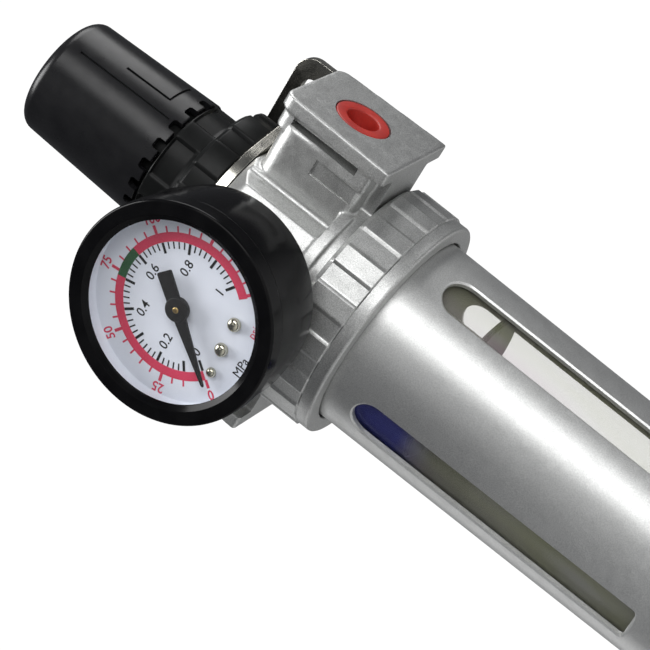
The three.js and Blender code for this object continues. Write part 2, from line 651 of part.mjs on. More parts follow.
dialScrewSpots.forEach(([x, y], i) => {
  const screw = domeHeaded(0.8, 1.7, 47);
  part(`dial_screw_${i + 1}`, revolve(screw, TINY, place({ x, y })), STEEL, gauge);
});
part('pointer_stop_pin', revolve(domeHeaded(0.65, 1.25, 49.5), TINY, stopPinSpot), STEEL, gauge);

// The pointer, its hub, arbor and pinion turn as one, about the gauge axis.
function pointer() {
  const thick = 0.5;
  const turned = place({ rz: ZERO_DEG * DEG, z: POINTER_LEVEL - thick / 2 });
  const arm = roundedOutline([
    [-1.7, 0], [-0.35, 17.8], [0, 18.4], [0.35, 17.8], [1.7, 0], [1.9, -9], [-1.9, -9],
  ]);
  return join(
    prism(arm, thick, turned, 1),
    revolve([[0, 52.4], [2.9, 52.4], [2.9, 53.9], [0, 53.9]], SMALL),
    rod(0.8, 40.5, 53, TINY),
    rod(1.3, 44.2, 46.4, SMALL),
  );
}

part('pointer', pointer(), BLACK_PLASTIC, gauge);

const SECTOR_PIVOT = -9;
// Two plates held apart by three posts.
function movementFrame() {
  const plate = roundedOutline([
    [-5.5, -16.5, 2], [7.5, -16.5, 2], [7.5, -8, 2], [5, 15, 2], [-5, 15, 2], [-5.5, -8, 2],
  ]);
  const plates = [41.8, 47.6].map((z) => prism(plate, 1, place({ z }), 3));
  const postSpots = [[-3.2, 12.4], [3.2, 12.4], [1.8, -14.6]];
  const posts = postSpots.map(([x, y]) => rod(1.2, 42, 48, TINY, place({ x, y })));
  const pivots = [0, SECTOR_PIVOT].map((y) => rod(1.1, 40, 50, TINY, place({ y })));
  const screwHoles = dialScrewSpots.map(([x, y]) => rod(SCREW_HOLE_R, 46.8, 50, TINY, place({ x, y })));
  return cut(join(...plates, ...posts), ...pivots, ...screwHoles);
}

part('movement_frame', movementFrame(), BRASS, gauge);

// The toothed segment that drives the pointer's pinion: teeth are left as a plain rim.
function sector() {
  const shape = new THREE.Shape();
  shape.absarc(0, 0, 7.4, 62 * DEG, 118 * DEG, false);
  shape.lineTo(-1.6, 0.6);
  shape.lineTo(-1.3, -4);
  shape.lineTo(1.3, -4);
  shape.lineTo(1.6, 0.6);
  return join(
    prism(shape, 1.2, place({ y: SECTOR_PIVOT, z: 44.6, rz: -24 * DEG }), 6),
    rod(0.8, 40.8, 49.4, TINY, place({ y: SECTOR_PIVOT })),
  );
}

part('sector_gear', sector(), BRASS, gauge);

// The C-shaped tube, from the socket round to the free tip.
class TubeArc extends THREE.Curve {
  getPoint(t, target = new THREE.Vector3()) {
    const angle = (-74 + 245 * t) * DEG;
    return target.set(17 * Math.cos(angle), 17 * Math.sin(angle), 38.6);
  }
}
const tubeSection = ovalSection(2.3, 0.95, 8);
const bourdonTube = new THREE.ExtrudeGeometry(tubeSection, { steps: 22, extrudePath: new TubeArc() });
part('bourdon_tube', solidOf(bourdonTube), BRASS, gauge);

const socketBlock = join(
  rod(4.6, 13, 27, SMALL),
  prism(hexOutline(14), 6, place({ z: 26.3 }), 1),
  rod(6, 32, 36.2, SMALL),
  block(-5.5, 5.5, -13.6, 5.5, 36, 41.2),
);
const pivotRecesses = [0, SECTOR_PIVOT].map((y) => rod(1.2, 40, 42, TINY, place({ y })));
part('gauge_socket', cut(socketBlock, rod(1.5, 10, 38.5, TINY), ...pivotRecesses), BRASS, gauge);
part('gauge_port_seal', ring(4.9, 7.2, PAD_Y + GAP, 26, SMALL), PTFE, gauge);

export default root;
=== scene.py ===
"""The looks of a compressed-air filter regulator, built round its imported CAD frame.

Shapes are drawn in millimetres, from the point where the main axis meets the port axis: z runs up the
main axis, air leaves at +X and the gauge faces -Y. Heights and radii come from the CAD nodes' boxes.
Angles round the main axis start at the gauge side and grow towards +X.
"""
import bpy
import bmesh
import math
from mathutils import Matrix, Vector


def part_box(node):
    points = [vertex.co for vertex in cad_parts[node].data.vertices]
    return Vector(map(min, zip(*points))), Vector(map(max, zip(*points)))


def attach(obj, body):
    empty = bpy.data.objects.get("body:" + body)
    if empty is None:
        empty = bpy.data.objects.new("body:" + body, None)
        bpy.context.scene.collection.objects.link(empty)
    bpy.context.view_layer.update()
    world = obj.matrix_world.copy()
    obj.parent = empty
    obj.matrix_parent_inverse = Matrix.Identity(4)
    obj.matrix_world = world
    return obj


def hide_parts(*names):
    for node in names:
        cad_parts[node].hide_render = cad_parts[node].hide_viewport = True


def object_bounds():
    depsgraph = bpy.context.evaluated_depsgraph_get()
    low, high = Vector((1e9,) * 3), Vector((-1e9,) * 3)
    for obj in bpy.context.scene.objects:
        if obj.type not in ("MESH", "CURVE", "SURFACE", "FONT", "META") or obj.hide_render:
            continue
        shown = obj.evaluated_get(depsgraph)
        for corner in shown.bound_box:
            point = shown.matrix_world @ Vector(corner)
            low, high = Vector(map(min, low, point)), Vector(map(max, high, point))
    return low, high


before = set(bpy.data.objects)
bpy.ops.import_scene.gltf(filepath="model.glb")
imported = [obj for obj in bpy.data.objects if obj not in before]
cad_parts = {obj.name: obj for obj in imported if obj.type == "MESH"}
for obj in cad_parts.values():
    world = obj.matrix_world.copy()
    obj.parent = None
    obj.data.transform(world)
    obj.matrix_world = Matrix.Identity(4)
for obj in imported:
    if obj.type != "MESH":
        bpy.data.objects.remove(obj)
cad_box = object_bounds()
MM = 0.001
FINE = 144  # sides of the widest round pieces
ROUND = 96
SMALL = 48
CORNER_SHARE = 0.48  # the most of an edge that one rounded corner may take

bonnet_low, bonnet_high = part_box("bonnet")
plug_low, plug_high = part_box("outlet_port_plug")
ORIGIN = Vector((
    (bonnet_low.x + bonnet_high.x) / 2,
    (bonnet_low.y + bonnet_high.y) / 2,
    (plug_low.z + plug_high.z) / 2,
))


def span(node):
    """A CAD node's lowest and highest corner, in millimetres from ORIGIN."""
    low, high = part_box(node)
    return (low - ORIGIN) / MM, (high - ORIGIN) / MM


# ---------------------------------------------------------------- outlines
def fillet(corners, steps=4):
    """A closed outline through (x, y) or (x, y, radius) corners, with a true arc where there is a radius."""
    points = []
    count = len(corners)
    for i, corner in enumerate(corners):
        here = Vector(corner[:2])
        radius = corner[2] if len(corner) > 2 else 0
        back = Vector(corners[i - 1][:2]) - here
        ahead = Vector(corners[(i + 1) % count][:2]) - here
        if radius <= 0 or back.length < 1e-6 or ahead.length < 1e-6:
            points.append(tuple(here))
            continue
        half = back.angle(ahead) / 2
        room = CORNER_SHARE * min(back.length, ahead.length)
        reach = min(radius / math.tan(half), room)
        radius = reach * math.tan(half)
        centre = here + (back.normalized() + ahead.normalized()).normalized() * (radius / math.sin(half))
        start = here + back.normalized() * reach - centre
        turn = start.angle_signed(here + ahead.normalized() * reach - centre)
        for k in range(steps + 1):
            c, s = math.cos(-turn * k / steps), math.sin(-turn * k / steps)
            points.append((centre.x + start.x * c - start.y * s, centre.y + start.x * s + start.y * c))
    return points


def hexagon(corner):
    """A hexagon, by its corners' distance from the centre."""
    angles = [math.radians(60 * k) for k in range(6)]
    return [(corner * math.cos(a), corner * math.sin(a)) for a in angles]


def rounded_box(width, height, radius, steps=6):
    w, h = width / 2, height / 2
    return fillet([(-w, -h, radius), (w, -h, radius), (w, h, radius), (-w, h, radius)], steps)


def sweep_arc(cx, cy, radius, start, end, steps=12):
    """Points on an arc, from one angle in degrees to another."""
    angles = [math.radians(start + (end - start) * k / steps) for k in range(steps + 1)]
    return [(cx + radius * math.cos(a), cy + radius * math.sin(a)) for a in angles]


# ---------------------------------------------------------------- meshes
def face_grid(bm, rows, closed_rows):
    """Joins rows of vertices, where a row of one vertex is a pole."""
    count = len(rows)
    for i in range(count if closed_rows else count - 1):
        a, b = rows[i], rows[(i + 1) % count]
        sides = max(len(a), len(b))
        if sides == 1:
            continue
        for k in range(sides):
            ring = [a[k % len(a)], a[(k + 1) % len(a)], b[(k + 1) % len(b)], b[k % len(b)]]
            unique = list(dict.fromkeys(ring))
            if len(unique) > 2:
                bm.faces.new(unique)


def lathe(outline, segments=ROUND, swell=None):
    """Turns a closed outline of (radius, height) points about Z.
    swell(angle, radius, height) is added to the radius."""
    bm = bmesh.new()
    rows = []
    for radius, height in outline:
        if radius < 1e-5:
            rows.append([bm.verts.new((0, 0, height))])
            continue
        row = []
        for k in range(segments):
            a = 2 * math.pi * k / segments
            r = radius + (swell(math.degrees(a), radius, height) if swell else 0)
            row.append(bm.verts.new((r * math.sin(a), -r * math.cos(a), height)))
        rows.append(row)
    face_grid(bm, rows, True)
    bmesh.ops.recalc_face_normals(bm, faces=bm.faces)
    return bm


def prism(outline, z0, z1):
    bm = bmesh.new()
    low = [bm.verts.new((x, y, z0)) for x, y in outline]
    high = [bm.verts.new((x, y, z1)) for x, y in outline]
    face_grid(bm, [low, high], False)
    bm.faces.new(low)
    bm.faces.new(high)
    bmesh.ops.recalc_face_normals(bm, faces=bm.faces)
    return bm


def block(x0, x1, y0, y1, z0, z1):
    return prism([(x0, y0), (x1, y0), (x1, y1), (x0, y1)], z0, z1)


def rod(radius, z0, z1, segments=SMALL):
    return lathe([(0, z0), (radius, z0), (radius, z1), (0, z1)], segments)


def divided(outline, step):
    """The same closed outline, with points no more than a step apart across it."""
    points = []
    for i, (x, y) in enumerate(outline):
        x2, y2 = outline[(i + 1) % len(outline)]
        count = max(1, math.ceil(abs(x2 - x) / step))
        points += [(x + (x2 - x) * k / count, y + (y2 - y) * k / count) for k in range(count)]
    return points


def wrapped(outline, phi, layers, radius_at):
    """A cutter that follows a round wall: the outline's x runs round the wall and its y runs up it.
    Each layer is (distance out from the wall, growth of the outline)."""
    bm = bmesh.new()
    rows = []
    middle_x = sum(x for x, _ in outline) / len(outline)
    low, high = min(y for _, y in outline), max(y for _, y in outline)
    half = max(x - middle_x for x, _ in outline)
    for out, grow in layers:
        row = []
        for x, y in outline:
            wide = (x - middle_x) * (1 + grow / half)
            share = (y - low) / (high - low) * 2 - 1
            tall = y + grow * share
            r = radius_at(tall) + out
            a = math.radians(phi) + (middle_x + wide) / radius_at(tall)
            row.append(bm.verts.new((r * math.sin(a), -r * math.cos(a), tall)))
        rows.append(row)
    face_grid(bm, rows, False)
    bm.faces.new(rows[0])
    bm.faces.new(rows[-1])
    bmesh.ops.triangulate(bm, faces=[f for f in bm.faces if len(f.verts) > 4])
    bmesh.ops.recalc_face_normals(bm, faces=bm.faces)
    return bm


def move(bm, x=0, y=0, z=0, turn=0, axis="Z"):
    matrix = Matrix.Translation((x, y, z)) @ Matrix.Rotation(math.radians(turn), 4, axis)
    bmesh.ops.transform(bm, matrix=matrix, verts=bm.verts)
    return bm


def along_x(bm, z=0):
    """Lays a shape drawn along Z down along +X."""
    return move(move(bm, turn=90, axis="Y"), z=z)


def along_y(bm, x=0, z=0):
    """Lays a shape drawn along Z down along -Y, so that its own y points up."""
    return move(move(bm, turn=90, axis="X"), x=x, z=z)


def to_object(bm, name="cutter"):
    mesh = bpy.data.meshes.new(name)
    bm.to_mesh(mesh)
    bm.free()
    obj = bpy.data.objects.new(name, mesh)
    bpy.context.scene.collection.objects.link(obj)
    return obj


def applied(obj):
    """The object's mesh with its modifiers taken in, as a new bmesh; the object goes."""
    bpy.context.view_layer.update()
    graph = bpy.context.evaluated_depsgraph_get()
    mesh = bpy.data.meshes.new_from_object(obj.evaluated_get(graph))
    bm = bmesh.new()
    bm.from_mesh(mesh)
    bpy.data.objects.remove(obj)
    bpy.data.meshes.remove(mesh)
    return bm


def boolean(base, operation, *tools):
    """Joins, cuts or intersects bmeshes one after another."""
    obj = to_object(base, "base")
    others = [to_object(t) for t in tools]
    for other in others:
        modifier = obj.modifiers.new("boolean", "BOOLEAN")
        modifier.operation = operation
        modifier.solver = "MANIFOLD"
        modifier.object = other
    bm = applied(obj)
    for other in others:
        bpy.data.objects.remove(other)
    return bm


def join(base, *others):
    return boolean(base, "UNION", *others)


def cut(base, *tools):
    return boolean(base, "DIFFERENCE", *tools)


def merged(*shapes):
    """Several shapes that stay apart, as one mesh."""
    bm = shapes[0]
    for shape in shapes[1:]:
        mesh = bpy.data.meshes.new("merge")
        shape.to_mesh(mesh)
        shape.free()
        bm.from_mesh(mesh)
        bpy.data.meshes.remove(mesh)
    return bm


def turned_normals(mesh, limit=35):
    """Sets normals as a lathe would leave them: exact round the main axis, and smooth along the profile."""
    local = []
    for face in mesh.polygons:
        c = face.center
        out = Vector((c.x, c.y, 0)).normalized()
        side = Vector((-out.y, out.x, 0))
        local.append(Vector((face.normal.dot(out), face.normal.dot(side), face.normal.z)))
    touching = [[] for _ in mesh.vertices]
    for face in mesh.polygons:
        for v in face.vertices:
            touching[v].append(face.index)
    keep = math.cos(math.radians(limit))
    normals = []
    for face in mesh.polygons:
        mine = local[face.index]
        for v in face.vertices:
            near = [f for f in touching[v] if local[f].dot(mine) > keep]
            mean = Vector((0, 0, 0))
            for f in near:
                mean += local[f] * mesh.polygons[f].area
            mean.normalize()
            p = mesh.vertices[v].co
            out = Vector((p.x, p.y, 0))
            if out.length < 1e-6:
                normals.append(face.normal.copy())
                continue
            out.normalize()
            side = Vector((-out.y, out.x, 0))
            normals.append((out * mean.x + side * mean.y + Vector((0, 0, mean.z))).normalized())
    mesh.normals_split_custom_set(normals)


def piece(name, bm, material, body, stands_for=(), turned=False, sharp=35, placement=None, bevel=0):
    """Makes a shape drawn in millimetres into a named piece on its body."""
    bmesh.ops.dissolve_degenerate(bm, dist=1e-5, edges=bm.edges)
    mesh = bpy.data.meshes.new(name)
    bm.to_mesh(mesh)
    bm.free()
    mesh.polygons.foreach_set("use_smooth", [True] * len(mesh.polygons))
    if turned:
        turned_normals(mesh)
    else:
        mesh.set_sharp_from_angle(angle=math.radians(sharp))
    placed = Matrix.Translation(ORIGIN) @ Matrix.Scale(MM, 4) @ (placement or Matrix.Identity(4))
    mesh.transform(placed)
    mesh.materials.append(material)
    obj = bpy.data.objects.new(name, mesh)
    bpy.context.scene.collection.objects.link(obj)
    if bevel:
        modifier = obj.modifiers.new("edges", "BEVEL")
        modifier.width = bevel * MM
        modifier.segments = 3
        modifier.limit_method = "ANGLE"
        modifier.angle_limit = math.radians(40)
        modifier.harden_normals = True
    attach(obj, body)
    if stands_for:
        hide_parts(*stands_for)


# ---------------------------------------------------------------- materials
def blank(name):
    material = bpy.data.materials.new(name)
    material.use_nodes = True
    return material, material.node_tree, material.node_tree.nodes["Principled BSDF"]


def noise(tree, scale, detail, roughness=0.5, stretch=None):
    """Noise in the object's own space; scale is per metre."""
    coordinates = tree.nodes.new("ShaderNodeTexCoord")
    texture = tree.nodes.new("ShaderNodeTexNoise")
    texture.inputs["Scale"].default_value = scale
    texture.inputs["Detail"].default_value = detail
    texture.inputs["Roughness"].default_value = roughness
    source = coordinates.outputs["Object"]
    if stretch:
        mapping = tree.nodes.new("ShaderNodeMapping")
        mapping.inputs["Scale"].default_value = stretch
        tree.links.new(source, mapping.inputs["Vector"])
        source = mapping.outputs["Vector"]
    tree.links.new(source, texture.inputs["Vector"])
    return texture.outputs["Fac"]


def ramp(tree, source, *stops):
    """Colours or values along a source: each stop is (position, value or colour)."""
    node = tree.nodes.new("ShaderNodeValToRGB")
    elements = node.color_ramp.elements
    while len(elements) < len(stops):
        elements.new(0.5)
    for element, (position, value) in zip(elements, stops):
        element.position = position
        element.color = (*value, 1) if isinstance(value, tuple) else (value, value, value, 1)
    tree.links.new(source, node.inputs["Fac"])
    return node.outputs["Color"]


def bump(tree, shader, *layers):
    """Adds bump layers of (height source, depth in millimetres)."""
    last = None
    for source, depth in layers:
        node = tree.nodes.new("ShaderNodeBump")
        node.inputs["Distance"].default_value = depth * MM
        node.inputs["Strength"].default_value = 1.0
        tree.links.new(source, node.inputs["Height"])
        if last:
            tree.links.new(last, node.inputs["Normal"])
        last = node.outputs["Normal"]
    tree.links.new(last, shader.inputs["Normal"])


def surface(name, dark, light, rough, metallic=0.0, blotch=180, grain=2500, depth=0.004, **extra):
    """A finish whose colour wanders between two values, whose gloss varies, and whose skin has a fine grain.
    extra sets other sockets of the shader, with _ for the spaces in their names."""
    material, tree, shader = blank(name)
    colour = ramp(tree, noise(tree, blotch, 4), (0.35, dark), (0.65, light))
    tree.links.new(colour, shader.inputs["Base Color"])
    gloss = ramp(tree, noise(tree, blotch * 2.3, 5, 0.6), (0.3, rough[0]), (0.7, rough[1]))
    tree.links.new(gloss, shader.inputs["Roughness"])
    shader.inputs["Metallic"].default_value = metallic
    bump(tree, shader, (noise(tree, grain, 2), depth))
    for socket, value in extra.items():
        shader.inputs[socket.replace("_", " ")].default_value = value
    return material


FLAKE_SCALE, SATIN_SCALE = 5200, 420


def flake_paint(name, dark, light, rough, metallic, grain, depth):
    """Silver paint: bright and dull metal flakes under a satin coat, on a fine orange peel."""
    material, tree, shader = blank(name)
    flakes = ramp(tree, noise(tree, FLAKE_SCALE, 1, 0.5), (0.38, dark), (0.62, light))
    tree.links.new(flakes, shader.inputs["Base Color"])
    gloss = ramp(tree, noise(tree, SATIN_SCALE, 4, 0.6), (0.3, rough[0]), (0.7, rough[1]))
    tree.links.new(gloss, shader.inputs["Roughness"])
    shader.inputs["Metallic"].default_value = metallic
    bump(tree, shader, (noise(tree, grain, 2), depth), (noise(tree, grain * 0.3, 2), depth * 1.6))
    return material


SILVER = flake_paint("silver_paint", (0.50, 0.505, 0.50), (0.66, 0.665, 0.655), (0.36, 0.44),
                     metallic=0.78, grain=2600, depth=0.003)
CAST = flake_paint("cast_silver", (0.38, 0.385, 0.38), (0.60, 0.605, 0.595), (0.37, 0.46),
                   metallic=0.84, grain=1500, depth=0.020)
BLACK = surface("black_plastic", (0.006, 0.006, 0.007), (0.009, 0.009, 0.010), (0.27, 0.32),
                grain=2600, depth=0.0012, Specular_IOR_Level=0.32)
GAUGE_BLACK = surface("gauge_black", (0.003, 0.003, 0.0035), (0.005, 0.005, 0.0055), (0.14, 0.17),
                      grain=1500, depth=0.0004, Specular_IOR_Level=0.10)
DARK = surface("dark_plastic", (0.006, 0.0064, 0.0064), (0.010, 0.0105, 0.0105), (0.32, 0.38),
               grain=2000, depth=0.0018, Specular_IOR_Level=0.12)
RED = surface("red_plastic", (0.36, 0.017, 0.012), (0.46, 0.028, 0.019), (0.38, 0.48),
              grain=2200, depth=0.004, Subsurface_Weight=0.05)
PLATE = surface("nickel_plate", (0.68, 0.66, 0.59), (0.76, 0.74, 0.67), (0.14, 0.22),
                metallic=1.0, grain=900, depth=0.001)
SCREW_PLATE = surface("screw_plate", (0.40, 0.39, 0.31), (0.50, 0.48, 0.38), (0.12, 0.20),
                      metallic=1.0, grain=900, depth=0.001)
STEEL = surface("machined_steel", (0.42, 0.42, 0.41), (0.56, 0.56, 0.54), (0.22, 0.34),
                metallic=1.0, grain=2400, depth=0.002)
WIRE = surface("spring_wire", (0.26, 0.27, 0.28), (0.38, 0.38, 0.39), (0.28, 0.40),
               metallic=1.0, grain=2400, depth=0.003)
BRASS = surface("machined_brass", (0.56, 0.39, 0.14), (0.68, 0.50, 0.21), (0.22, 0.36),
                metallic=1.0, grain=2400, depth=0.002)
RUBBER = surface("rubber", (0.010, 0.010, 0.010), (0.018, 0.018, 0.018), (0.55, 0.72),
                 grain=1800, depth=0.006)
FILTER = surface("sintered_filter", (0.66, 0.64, 0.57), (0.82, 0.80, 0.74), (0.75, 0.90),
                 grain=1900, depth=0.10)
BLUE = surface("blue_plastic", (0.020, 0.024, 0.20), (0.035, 0.040, 0.28), (0.38, 0.50),
               grain=2000, depth=0.004)
DIAL = surface("dial_white", (0.71, 0.745, 0.83), (0.75, 0.785, 0.87), (0.42, 0.50),
               grain=2600, depth=0.001)
TAPE = surface("thread_seal", (0.70, 0.70, 0.68), (0.80, 0.80, 0.78), (0.5, 0.7),
               grain=1500, depth=0.01)
INK = surface("black_ink", (0.003, 0.003, 0.004), (0.005, 0.005, 0.006), (0.40, 0.50),
              grain=2600, depth=0.001, Specular_IOR_Level=0.15)
RED_INK = surface("crimson_ink", (0.60, 0.030, 0.085), (0.66, 0.036, 0.100), (0.42, 0.50),
                  grain=2600, depth=0.001)
GREEN_INK = surface("green_ink", (0.004, 0.070, 0.016), (0.006, 0.085, 0.022), (0.42, 0.50),
                    grain=2600, depth=0.001)
FLOOR_PAINT = surface("floor_paint", (0.60, 0.60, 0.60), (0.64, 0.64, 0.64), (0.7, 0.8),
                      blotch=3, grain=300)


def spread(tree, source, low, high):
    """Maps a source evenly between two (source, result) pairs, and holds the result beyond them."""
    node = tree.nodes.new("ShaderNodeMapRange")
    for socket, value in zip(("From Min", "To Min", "From Max", "To Max"), (*low, *high)):
        node.inputs[socket].default_value = value
    tree.links.new(source, node.inputs["Value"])
    return node.outputs["Result"]


BANDS_SCALE, BANDS_STRETCH = 34, (2.6, 2.6, 0.5)
VIOLET = (0.10, 0.11, 0.42)
VIOLET_ALPHA = 0.30
VIOLET_X = (0, -6)  # the violet patch comes in across the first millimetres on the inlet side
VIOLET_Z = (-61, -52)  # and up these heights, towards the slots' upper ends


def stress_colours(tree, shader, alpha):
    """Tints painted on the clear bowl: faint bands from stretched noise, and a violet patch, more opaque,
    over the inlet side towards the top.
    """
    place = tree.nodes.new("ShaderNodeSeparateXYZ")
    tree.links.new(tree.nodes.new("ShaderNodeTexCoord").outputs["Object"], place.inputs["Vector"])
    start_x, full_x = (ORIGIN.x + x * MM for x in VIOLET_X)
    start_z, full_z = (ORIGIN.z + z * MM for z in VIOLET_Z)
    patch = tree.nodes.new("ShaderNodeMath")
    patch.operation = "MULTIPLY"
    tree.links.new(spread(tree, place.outputs["X"], (start_x, 0), (full_x, 1)), patch.inputs[0])
    tree.links.new(spread(tree, place.outputs["Z"], (start_z, 0), (full_z, 1)), patch.inputs[1])
    bands = ramp(
        tree, noise(tree, BANDS_SCALE, 2, 0.4, stretch=BANDS_STRETCH),
        (0.30, (0.62, 0.40, 0.50)), (0.42, (0.72, 0.70, 0.64)), (0.54, (0.56, 0.58, 0.36)),
        (0.62, (0.70, 0.70, 0.66)), (0.70, (0.20, 0.22, 0.70)))
    colour = tree.nodes.new("ShaderNodeMix")
    colour.data_type = "RGBA"
    tree.links.new(bands, colour.inputs["A"])
    colour.inputs["B"].default_value = (*VIOLET, 1)
    tree.links.new(patch.outputs[0], colour.inputs["Factor"])
    tree.links.new(colour.outputs["Result"], shader.inputs["Base Color"])
    tree.links.new(spread(tree, patch.outputs[0], (0, alpha), (1, VIOLET_ALPHA)), shader.inputs["Alpha"])


POLYCARBONATE_IOR = 1.58


def clear_plastic(name, tint, rough, alpha, with_tints=False):
    """Clear moulding: mostly see-through, with a gloss of its own."""
    material, tree, shader = blank(name)
    shader.inputs["Base Color"].default_value = (*tint, 1)
    shader.inputs["Roughness"].default_value = rough
    shader.inputs["Alpha"].default_value = alpha
    shader.inputs["IOR"].default_value = POLYCARBONATE_IOR
    if with_tints:
        stress_colours(tree, shader, alpha)
    bump(tree, shader, (noise(tree, 260, 2), 0.01))
    return material


BOWL = clear_plastic("clear_bowl", (0.90, 0.90, 0.84), 0.12, 0.13, with_tints=True)
LENS = clear_plastic("clear_lens", (0.95, 0.96, 0.96), 0.04, 0.015)

# ---------------------------------------------------------------- body casting
body_high = span("body")[1]
bezel_low, bezel_high = span("gauge_bezel")
GAUGE_Z = (bezel_low.z + bezel_high.z) / 2
FACE_X = body_high.x
FACE_TOP, FACE_BOTTOM = body_high.z, -16.2
FACE_BACK_X = FACE_X - 3.5  # back of the wide slab that carries the end face
LIP_X = FACE_X - 8.5  # back of the narrower slab behind it
LIP_END_X = FACE_X - 2.7  # where the narrower slab ends, inside the wide one
LIP_TOP, LIP_BOTTOM, LIP_Y = 14.4, -13.1, 15
FACE_FRONT_Y, FACE_BACK_Y = 15.3, 16.9  # the end faces reach further back than forward
DRAFT = 1.6
WEB_X, WEB_Y, WEB_TOP = 24, 9.4, -12.4  # the web under each flange
BODY_TOP = 14.5
WAIST_R = 28  # round sides between the flat gauge pads and the necks
WAIST_BOTTOM = -11.2
PAD_DEG, EDGE_DEG = 61, 48.5  # from the X axis: where the round side meets a pad, and where it ends by a neck
BEVEL_R, BEVEL_BOTTOM = 60, -13.6
NECK_X, NECK_Y, NECK_Z = 33, 14.4, 12.8
CORE_R = 22.4
FOOT_R, FOOT_X = 28.3, 24.5
FOOT_BOTTOM, FOOT_TOP = -14, -11
SPIGOT_R = 27.4
SPIGOT_BOTTOM = -22.6
SLOT_LOW, SLOT_HIGH = -9.1, 10.4
PANEL_X, PANEL_Y = 26.8, 14  # the shallow panels in the necks' sides
PANEL_LOW, PANEL_HIGH = -12.6, 0.6
TOP_BORE_R, BOWL_BORE_R = 19.2, 25.3
PORT_R = 5.7
INLET_WALL_X, OUTLET_WALL_X = -15.8, 12  # where the ports' bores end
COUNTERBORE_R, COUNTERBORE_DEPTH = 7.3, 1.8
GAUGE_PORT_R, GAUGE_PORT_WALL_Y = 4.9, 11
OUTSIDE = 50  # past any face of the casting


def end_slab(side, near, far, top, bottom, front, back):
    """One slab of an end flange: narrower at the top, as a casting with draft is."""
    outline = fillet([
        (bottom, -front, 0.7), (bottom, back, 0.7),
        (top, back - DRAFT, 3.2), (top, -front + DRAFT, 3.2),
    ], 6)
    x0, x1 = sorted((side * near, side * far))
    upright = Matrix(((0, 0, 1, 0), (0, 1, 0, 0), (1, 0, 0, 0), (0, 0, 0, 1)))
    bm = prism(outline, x0, x1)
    bmesh.ops.transform(bm, matrix=upright, verts=bm.verts)
    bmesh.ops.recalc_face_normals(bm, faces=bm.faces)
    return bm


def waist_outline():
    edge_x = WAIST_R * math.cos(math.radians(EDGE_DEG))
    corner = 1.5
    reach, corner_y = edge_x + corner, NECK_Y + corner
    points = sweep_arc(0, 0, WAIST_R, -PAD_DEG, -EDGE_DEG, 8)
    points += sweep_arc(reach, -corner_y, corner, 180, 90, 6)
    points += sweep_arc(reach, corner_y, corner, -90, -180, 6)
    points += sweep_arc(0, 0, WAIST_R, EDGE_DEG, PAD_DEG, 8)
    return points + [(-x, -y) for x, y in points]


def between(side, near, far, y0, y1, z0, z1):
    """A block on one side of the body, from near to far along X."""
    x0, x1 = sorted((side * near, side * far))
    return block(x0, x1, y0, y1, z0, z1)


def clamp_slots(side):
    """The slots in the front and back of an end flange that take the clamp between two units."""
    outline = [(33.7, -20), (33.7, -9.5), (34.9, -9.5), (34.9, -12.9), (36.1, -13.4), (36.1, -20)]
    return [prism([(x * side, y * flip) for x, y in outline], SLOT_LOW, SLOT_HIGH) for flip in (-1, 1)]


def casting():
    """The casting before machining: waist, necks, foot, spigot and end flanges."""
    bevel = lathe([
        (0, -30), (BEVEL_R, -30), (BEVEL_R, BEVEL_BOTTOM), (CORE_R, BODY_TOP), (0, BODY_TOP),
    ], FINE)
    waist = boolean(prism(waist_outline(), WAIST_BOTTOM, BODY_TOP), "INTERSECT", bevel)
    neck_outline = fillet([
        (-NECK_Z, -NECK_Y, 4.5), (NECK_Z, -NECK_Y, 3), (NECK_Z, NECK_Y, 3), (-NECK_Z, NECK_Y, 4.5),
    ], 8)
    neck = along_x(prism(neck_outline, -NECK_X, NECK_X), z=-0.1)
    disc = lathe([(1, FOOT_BOTTOM), (FOOT_R, FOOT_BOTTOM), (FOOT_R, FOOT_TOP), (1, FOOT_TOP)], FINE)
    foot = boolean(disc, "INTERSECT", block(-FOOT_X, FOOT_X, -30, 30, FOOT_BOTTOM - 1, FOOT_TOP + 1))
    spigot = rod(SPIGOT_R, SPIGOT_BOTTOM, FOOT_TOP, FINE)
    flanges = []
    for side in (-1, 1):
        flanges += [
            end_slab(side, FACE_BACK_X, FACE_X, FACE_TOP, FACE_BOTTOM, FACE_FRONT_Y, FACE_BACK_Y),
            end_slab(side, LIP_X, LIP_END_X, LIP_TOP, LIP_BOTTOM, LIP_Y, LIP_Y),
            between(side, WEB_X, LIP_END_X, -WEB_Y, WEB_Y, FACE_BOTTOM, WEB_TOP),
        ]
    return join(waist, neck, foot, spigot, *flanges)


